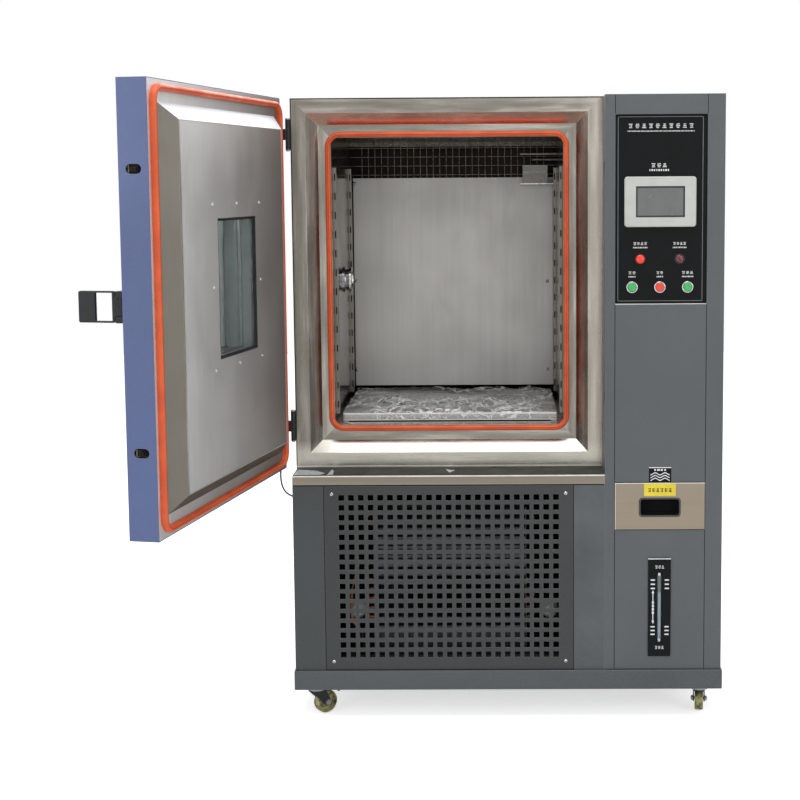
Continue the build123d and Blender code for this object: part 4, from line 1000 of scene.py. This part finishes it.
for name, (x, finish) in buttons.items():
    bm = bmesh.new()
    profile = [(0, 5.4), (4, 5.5), (7.6, 5.9), (8.8, 6.0), (10.0, 5.5)]
    profile += [(10.8, 4.4), (11.0, 3.0), (11.0, -10), (0, -10)]
    turned(bm, profile, (x, plate_y, button_z), front, 40)
    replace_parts(make(f"{name}_cap", bm, name, [finish]), name)


def faceted(r, h, turn):
    """Lowers every other wedge of a lens, as its moulded facets do."""
    return r, h - (0.9 if 1 < r < 9 and int(turn / (2 * math.pi) * 12 + 0.5) % 2 else 0)


bm = bmesh.new()
profile = [(0, 7.6), (3.5, 7.4), (6.5, 6.9)] + dome_edge
turned(bm, profile, (lamp_x[0], plate_y, lamp_z), front, 40, 0)
profile = [(0, 7.2), (3.0, 7.4), (6.2, 6.8)] + dome_edge
turned(bm, profile, (lamp_x[1], plate_y, lamp_z), front, 24, 1, faceted)
lenses = make("lamp_lenses", bm, "cabinet", [lamp_acrylic, maroon_acrylic])
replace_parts(lenses, "pilot_lights")

bm = bmesh.new()
screen_x, screen_z, screen_y = 538.0, 1338.0, -1.5
outer_edge = ring_at(bm, box_outline(screen_x, screen_z, 122.6, 77.6, 0.6), screen_y - 0.9)
inner_edge = ring_at(bm, box_outline(screen_x, screen_z, 114, 69, 1.5), screen_y - 0.15)
bridge(bm, outer_edge, inner_edge)
make("display_border", bm, "cabinet", [lcd_border])
print("rings, caps, lenses and display border made")

# %% [markdown]
# ## The door seals' lips
#
# Both seals are double: an outer lip and an inner bulb with a crease between them that reads as a
# dark line all the way round. That dark line is painted shade: a narrow band of darker orange,
# slightly proud of the bulb, that follows the same rounded rectangle. The ends of the seal meet on
# the left side at a butt joint.

# %% Seal creases


def loop_band(bm, middle, w, h, corner, y, depth, width, finish=0, steps=10):
    """A narrow band round a rounded rectangle in X and Z, all in mm."""
    rings = []
    for grow in (-width / 2, width / 2):
        outline = box_outline(*middle, w + 2 * grow, h + 2 * grow, corner + grow, steps)
        rings += [ring_at(bm, outline, y), ring_at(bm, outline, y + depth)]
    for a, b in ((0, 2), (3, 1), (1, 0), (2, 3)):
        bridge(bm, rings[a], rings[b], finish)


# A band of painted shade in the frame seal's crease.
bm = bmesh.new()
crest = 115 - 6.5 - 7.0
loop_band(bm, (0, 1131), 614, 764, 31, crest - 0.10, 0.9, 1.3)
raised(bm, box_outline(-308, 1246, 15, 1.6), crest + 1.2, crest - 0.2)
make("frame_seal_crease", bm, "cabinet", [seal_shade_silicone])
bm = bmesh.new()
crest = 68 + 6.5 + 7.0
loop_band(bm, (-0.25, 1128), 757.5, 918, 31, crest + 0.10, -0.9, 1.3)
make("door_seal_crease", bm, "door", [seal_shade_silicone], swing)
print("seal creases made")

# %% [markdown]
# ## The film on the shelf
#
# The shelf still wears the clear polyethylene film it was shipped in. Film this thin doesn't
# stretch, so slack has to go somewhere, and it stands up in sharp ridges that run between points
# where it sticks. Ridged noise gives such creases: it's the absolute value of a smooth noise,
# turned upside down, so its crests are sharp. Three sizes of it are added. The front edge is
# turned down over the shelf's lip. Cloth simulation would cost minutes and give soft folds.

# %% Clear film
film_clear, tree, shader, place = begin("polyethylene_film", IOR=1.5)
fine = add(tree, "TexNoise", {"Vector": place, "Scale": per(14), "Detail": 5})
patch = add(tree, "TexNoise", {"Vector": place, "Scale": per(190), "Detail": 3})
sockets = {"Vector": place, "Scale": per(80), "Detail": 4, "Distortion": 0.6}
slack = add(tree, "TexNoise", sockets, "Color")
bent = add(tree, "Mix", {0: 0.05, 6: place, 7: slack}, **rgba, blend_type="LINEAR_LIGHT")
drawn = add(tree, "Mapping", {"Vector": bent, "Scale": (1.0, 0.42, 1.0), "Rotation": (0, 0, 0.5)})
ridges = []
for size, strength in ((46, 1.0), (18, 0.75)):
    cells = add(tree, "TexVoronoi", {"Vector": drawn, "Scale": per(size)}, feature="DISTANCE_TO_EDGE")
    ridges.append(add(tree, "MapRange", {0: cells, 1: 0.0, 2: 0.10, 3: strength, 4: 0.0}))
creases = add(tree, "Math", {0: ridges[0], 1: ridges[1]}, operation="MAXIMUM")
# The white lines on the creases, gathered in patches, are painted glints; the fine haze is the film's own.
glint_patch_mask = add(tree, "MapRange", {0: patch, 1: 0.40, 2: 0.52, 3: 0.15, 4: 1.0})
painted_glints = add(tree, "Math", {0: creases, 1: glint_patch_mask}, operation="MULTIPLY")
haze = add(tree, "MapRange", {0: fine, 1: 0.42, 2: 0.75, 3: 0.05, 4: 0.22})
cover = add(tree, "Math", {0: painted_glints, 1: haze}, operation="ADD")
white = add(tree, "Mix", {0: fine, 6: "#F2F4F6", 7: "#FFFFFF"}, **rgba)
gloss = add(tree, "MapRange", {0: fine, 1: 0.3, 2: 0.7, 3: 0.08, 4: 0.2})
sockets = {"Height": creases, "Distance": 0.003, "Strength": 0.7}
fill(shader, Base_Color=white, Alpha=cover, Roughness=gloss, Normal=add(tree, "Bump", sockets))

x0, x1, y0, y1 = -284.6, 284.6, 174.4, 608
flap, flap_rows = 17, 5
top = 778.9
across, back = 150, 112


def crumple(x, y):
    """How far the film stands off the shelf at a place, in mm."""
    rise = 0.0
    for size, tall in ((130, 6.0), (60, 3.6), (24, 1.4)):
        n = noise.noise(Vector((x / size + 7.3, y / (size * 1.5) - 2.1, size)))
        rise += tall * (1 - min(1, abs(n) * 3.2)) ** 2
    return rise


bm = bmesh.new()
rows = []
for j in range(-flap_rows, back + 1):
    points = []
    for i in range(across + 1):
        x = x0 + (x1 - x0) * i / across
        rise = crumple(x, y0 + (y1 - y0) * max(j, 0) / back)
        if j >= 0:
            y = y0 + (y1 - y0) * j / back
            at = (x, y, top + 0.3 + rise * min(1, j / 4 + 0.25))
        else:
            down = flap * -j / flap_rows
            ripple = 1.1 * noise.noise(Vector((x / 26, down / 20, 3.1))) + 1.2
            at = (x, y0 - 0.2 - min(ripple, 2.2) * min(1, -j / 2), top - down)
        points.append(bm.verts.new(Vector(at) * mm))
    rows.append(points)
for low, high in zip(rows, rows[1:]):
    for i in range(across):
        face = bm.faces.new((low[i], low[i + 1], high[i + 1], high[i]))
        face.smooth = True
film_piece = make("shelf_wrap", bm, "shelf", [film_clear], split=80)
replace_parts(film_piece, "shelf_film")
print("film points:", len(film_piece.data.vertices))

# %% [markdown]
# ## Window
#
# Three panes sit in a grey painted lining, held apart by bent metal spacers that run round
# between them near the edge, with a bead of black sealant on the inner pane. Seen at a slant,
# those spacers are the light lines in the reveal.

# %% Window spacers and beads


def picture_frame(bm, w, h, thick, y0, y1, finish=0):
    """Four bars round a rectangle, mitred at the corners."""
    outer = box_outline(0, window_z, w, h)
    inner = box_outline(0, window_z, w - 2 * thick, h - 2 * thick)
    for i in range(4):
        j = (i + 1) % 4
        raised(bm, [outer[i], outer[j], inner[j], inner[i]], y0, y1, finish)


bm = bmesh.new()
w, h = 234.0, 314.0
for y0, y1 in ((8.4, 48.8), (55.6, 90.0)):
    picture_frame(bm, w, h, 3, y0, y0 + 6)
    picture_frame(bm, w, h, 3, y1 - 6, y1)
make("window_spacers", bm, "door", [galvanised], swing)
bm = bmesh.new()
picture_frame(bm, w + 0.6, h + 0.6, 1.6, 94.7, 100.7)
picture_frame(bm, w, h, 6, 94.6, 95.3)
make("window_bead", bm, "door", [black_rubber], swing)
print("window edges made")

# %% [markdown]
# ## Latch, hinges and casters
#
# Behind each slot in the door's edge there is a keeper in a well, and the keeper's dark metal and
# the well's black are painted shade. The hinge pins end in domed caps. Each caster's axle has a
# hexagon nut, and its crown has a row of balls under a pressed cover.

# %% Latch wells, keepers and hinge caps
bm = bmesh.new()
# Black wells round the latch slots are painted shade.
for z in (1421, 836):
    outline = box_outline(35, z, 33.6, 19.6, 9.7)
    hole = box_outline(35, z, 24.4, 14.4, 0.8)
    rim = [bm.verts.new((395.9 * mm, py * mm, pz * mm)) for py, pz in outline]
    edge = [bm.verts.new((395.7 * mm, py * mm, pz * mm)) for py, pz in hole]
    bridge(bm, rim, edge)
make("latch_wells", bm, "door", [painted_shadow_black], swing)

bm = bmesh.new()
profile = [(0, 0), (5.4, 0), (6.4, 0.9), (6.4, 2.4), (3.0, 2.5), (2.6, 1.6), (0, 1.6)]
for z in (1421, 836):
    turned(bm, profile, (394.6, 35, z), (1, 0, 0), 6)
make("latch_keepers", bm, "door", [shade_dark_metal], swing)

bm = bmesh.new()
profile = [(5.9, 0.05), (5.9, 2.0), (5.2, 3.2), (3.2, 4.2), (0, 4.6)]
for z0, z1 in ((721.5, 798.5), (1475.5, 1552.5)):
    for z, way in ((z0, -1), (z1, 1)):
        turned(bm, profile, (-406.5, 85, z), (0, 0, way), 24)
make("hinge_pin_caps", bm, "cabinet", [zinc])

# %% Caster nuts and covers
casters = {
    "front_left": (-351, 46, 215),
    "front_right": (651, 46, 262),
    "rear_left": (-351, 898, 35),
    "rear_right": (651, 898, 80),
}
washer = [(7.6, 0), (7.6, 0.9), (6.6, 1.0)]
nut = [(6.5, 0.9), (6.5, 4.6), (5.7, 5.2), (4.2, 5.2), (4.0, 5.9), (0, 6.1)]
cover = [(21.4, 66.4), (23.5, 67.2), (24.6, 69.5), (24.6, 72.5), (22.5, 74.2), (21.2, 74.4)]
for corner, (x, y, heading) in casters.items():
    turn = math.radians(heading)
    axle = Vector((x - 24 * math.cos(turn), y - 24 * math.sin(turn), 30))
    side = Vector((-math.sin(turn), math.cos(turn), 0))
    bm = bmesh.new()
    for way in (-1, 1):
        seat = axle + side * way * 15.25
        turned(bm, washer, seat, side * way, 24)
        turned(bm, nut, seat, side * way, 6)
    turned(bm, cover, (x, y, 0), (0, 0, 1), 32)
    make(f"caster_nuts_{corner}", bm, f"caster_swivel_{corner}", [zinc])
print("latch, hinge and caster details made")

# %% [markdown]
# ## The drawer's pull, the cup and the ledge
#
# The filling drawer's recessed pull is a black moulded cup with a lip that covers the cut edge of
# the sheet, and the black deep inside it is painted shade. The wet-bulb cup has a pale front. A
# dark sheet lies on the ledge's top, seen as a narrow dark band between the frame's foot and the
# bright strip, and a few scraps of the film that protected the sheet in shipping still stick to it.

# %% Pull cup, wet-bulb cup and ledge
bm = bmesh.new()
levels = [(107, 50, 8.5, -2.0), (107, 50, 8.5, -2.9), (106, 49, 8.5, -3.3), (99, 42, 6.5, -3.1)]
levels += [(98, 41, 6.0, -1.5), (94, 37, 5.0, 12.0), (84, 28, 5.0, 16.5)]
cup_rings = [ring_at(bm, box_outline(540.5, 559, wide, tall, r, 6), y) for wide, tall, r, y in levels]
for low, high in zip(cup_rings, cup_rings[1:]):
    # Faces deep in the cup take painted shade.
    inside = high[0].co.y > 0
    bridge(bm, low, high, 1 if inside else 0, True)
bm.faces.new(cup_rings[-1]).material_index = 1
make("pull_cup", bm, "water_drawer", [pull_nylon, painted_shadow_black])

bm = bmesh.new()
raised(bm, box_outline(240, 1402, 68, 28, 2), 573.0, 572.2, 0)
raised(bm, box_outline(240, 1427, 72, 15, 1), 573.0, 571.6, 1)
raised(bm, box_outline(248, 1384, 104, 3.2, 1), 571.0, 568.6, 2)
cup_acrylic = acrylic("acrylic_clear", "#C9C3BB", "#B0A8A0", 0.3)
make("wet_bulb_cup_front", bm, "cabinet", [cup_acrylic, bezel_abs, chrome])

# A thin dark sheet over the ledge's top gives its narrow dark band.
bm = bmesh.new()
outline = [(-397.5, 644.05), (398.5, 644.05), (398.5, 645.0), (-397.5, 645.0)]
raised(bm, outline, 84.6, 3.0, 0)
make("ledge_top", bm, "cabinet", [ledge_dark_sheet])

bm = bmesh.new()
for points in (
    [(-396, 5), (-330, 8), (-318, 30), (-345, 62), (-396, 80)],
    [(-312, 5), (-296, 8), (-300, 60), (-306, 80)],
    [(2, 30), (16, 60), (-10, 76)],
):
    low = [bm.verts.new((x * mm, y * mm, 645.1 * mm)) for x, y in points]
    centre_x = sum(x for x, _ in points) / len(points)
    centre_y = sum(y for _, y in points) / len(points)
    middle = bm.verts.new((centre_x * mm, centre_y * mm, 646.4 * mm))
    for i in range(len(low)):
        bm.faces.new((low[i], low[(i + 1) % len(low)], middle)).smooth = True
make("film_scraps", bm, "cabinet", [scrap_film])
print("pull cup, wet-bulb cup and ledge made")

# %% [markdown]
# ## Slots in the uprights and the cable port's collar
#
# The shelf uprights are rolled channels with a slot every 50 mm in their front edge, which read
# as a column of dark dashes, drawn as black bars of painted shade. The port for test leads ends
# in a turned, bright collar that stands 24 mm off the wall. Its rounded section gives two bright
# spots, above and below the bore.

# %% Upright slots and port collar
# Black bars of painted shade stand for the slots.
bm = bmesh.new()
shelf_pitch, lowest_slot = 50, 805
for y in (153.95, 545.95):
    for side in (-1, 1):
        for i in range(13):
            slot = box_outline(side * 295.6, lowest_slot + shelf_pitch * i, 3.4, 19, 1.4)
            raised(bm, slot, y + 0.02, y - 0.08)
make("upright_slot_shades", bm, "cabinet", [painted_shadow_black])

bm = bmesh.new()
profile = [(25.2, 0), (25.2, 20), (26.5, 22.5), (30, 23.6), (33.5, 22.0), (35.0, 18.5)]
profile += [(34.4, 15), (31, 12), (30.5, 8), (33, 4.2), (36, 4.0), (36, 0.5)]
turned(bm, profile, (-300, 395, 1121), (1, 0, 0), 48)
make("port_collar", bm, "cabinet", [chrome])
print("uprights and port finished")

# %% [markdown]
# ## Behind the grille
#
# Through the square holes one sees the condenser's finned coil, copper return bends and the feed
# pipe. These lie a hand's breadth behind the panel, so they need only read as shapes in shadow.
# Return bends are half rings of tube between the coil's rows, and the two pale discs are the
# plastic mounts at the coil's lower corners. A dark filter mat lies behind the rear louvres.

# %% Copper and mounts behind the grille
bm = bmesh.new()
for row_index in range(6):
    z = 250 + row_index * 50
    for x, way in ((-200, -1), (200, 1)):
        bend = [Vector((x, 78, z))]
        for i in range(11):
            turn = math.pi * i / 10 - math.pi / 2
            bend.append(Vector((x + way * (6 + 13 * math.cos(turn)), 78, z + 13 + 13 * math.sin(turn))))
        bend.append(Vector((x, 78, z + 26)))
        tube(bm, [p * mm for p in bend], 4.5 * mm, 10)
feed = [(-230, 90, 150), (-232, 80, 190), (-236, 66, 222), (-252, 60, 238)]
feed += [(-262, 62, 268), (-258, 74, 330), (-240, 84, 396)]
tube(bm, [Vector(p) * mm for p in feed], 5.0 * mm, 12)
make("copper_bends", bm, "cabinet", [copper])

bm = bmesh.new()
profile = [(0, 6), (12, 6), (15, 4), (16, 0), (19, -4), (22, -10), (22, -26), (0, -26)]
for x in (-245, 262):
    turned(bm, profile, (x, 62, 271), front, 32)
make("coil_mounts", bm, "cabinet", [bezel_abs])

bm = bmesh.new()
raised(bm, box_outline(0, 392, 620, 330, 6), 947.6, 940.5)
filter_mat = moulded("filter_mat_black", "#141516", "#222324", 0.9, 2.5, 0.6)
make("louvre_filter", bm, "cabinet", [filter_mat])
print("compartment details made")

# %% [markdown]
# ## Floor and light
#
# The object stands on a plain pale floor in soft light. The world is white where the camera, a
# mirror or glass looks at it, and weaker as a light source, so colours come out as written and
# the background stays white. One large soft lamp hangs above and in front, as daylight from a
# roof light would, and lights the sloping faces that look up. Weaker ones fill from both
# sides and from behind.

# %% Floor, world and lamps
floor_paint, tree, shader, place = begin("floor_paint_white", Roughness=0.7)
mottle = add(tree, "TexNoise", {"Vector": place, "Scale": per(900), "Detail": 4})
mottled = add(tree, "Mix", {0: mottle, 6: "#FFFFFF", 7: "#FAFAFA"}, **rgba)
shader.inputs["Emission Color"].default_value = linear("#FFFFFF")
looked_at = add(tree, "LightPath", {}, "Is Camera Ray")
glow = add(tree, "MapRange", {0: looked_at, 1: 0.0, 2: 1.0, 3: 0.0, 4: 0.62})
fill(shader, Base_Color=mottled, Emission_Strength=glow)
bpy.ops.mesh.primitive_plane_add(size=14, location=(0.1, 1.0, -0.0005))
floor = bpy.context.object
floor.name = "floor"
floor.data.materials.append(floor_paint)

world = bpy.data.worlds.new("studio")
bpy.context.scene.world = world
world.use_nodes = True
tree = world.node_tree
background = tree.nodes["Background"]
background.inputs["Color"].default_value = linear("#FFFFFF")
looked_at = add(tree, "LightPath", {}, "Is Camera Ray")
mirrored = add(tree, "LightPath", {}, "Is Glossy Ray")
through_glass = add(tree, "LightPath", {}, "Is Transmission Ray")
direct = add(tree, "Math", {0: looked_at, 1: mirrored}, operation="MAXIMUM")
seen = add(tree, "Math", {0: direct, 1: through_glass}, operation="MAXIMUM")
brightness = add(tree, "MapRange", {0: seen, 1: 0.0, 2: 1.0, 3: 0.54, 4: 1.0})
fill(background, Strength=brightness)


def lamp(name, place, target, size, power):
    """A soft square lamp aimed at a point."""
    data = bpy.data.lights.new(name, "AREA")
    data.shape = "SQUARE"
    data.size = size
    data.energy = power
    lamp_object = bpy.data.objects.new(name, data)
    lamp_object.location = place
    lamp_object.rotation_euler = (Vector(target) - Vector(place)).to_track_quat("-Z", "Y").to_euler()
    bpy.context.scene.collection.objects.link(lamp_object)


lamp("roof_light", (0.0, -0.9, 4.2), (0.0, -0.2, 0.9), 2.6, 82)
lamp("left_fill", (-3.2, -3.4, 2.2), (0.0, 0.2, 0.9), 2.2, 37)
lamp("right_fill", (3.4, -3.0, 2.0), (0.2, 0.2, 0.8), 2.2, 35)
lamp("back_light", (0.1, 3.0, 3.1), (-0.4, -0.2, 1.5), 2.2, 50)
bpy.context.scene.view_settings.view_transform = "Standard"
print("floor, world and lamps made")
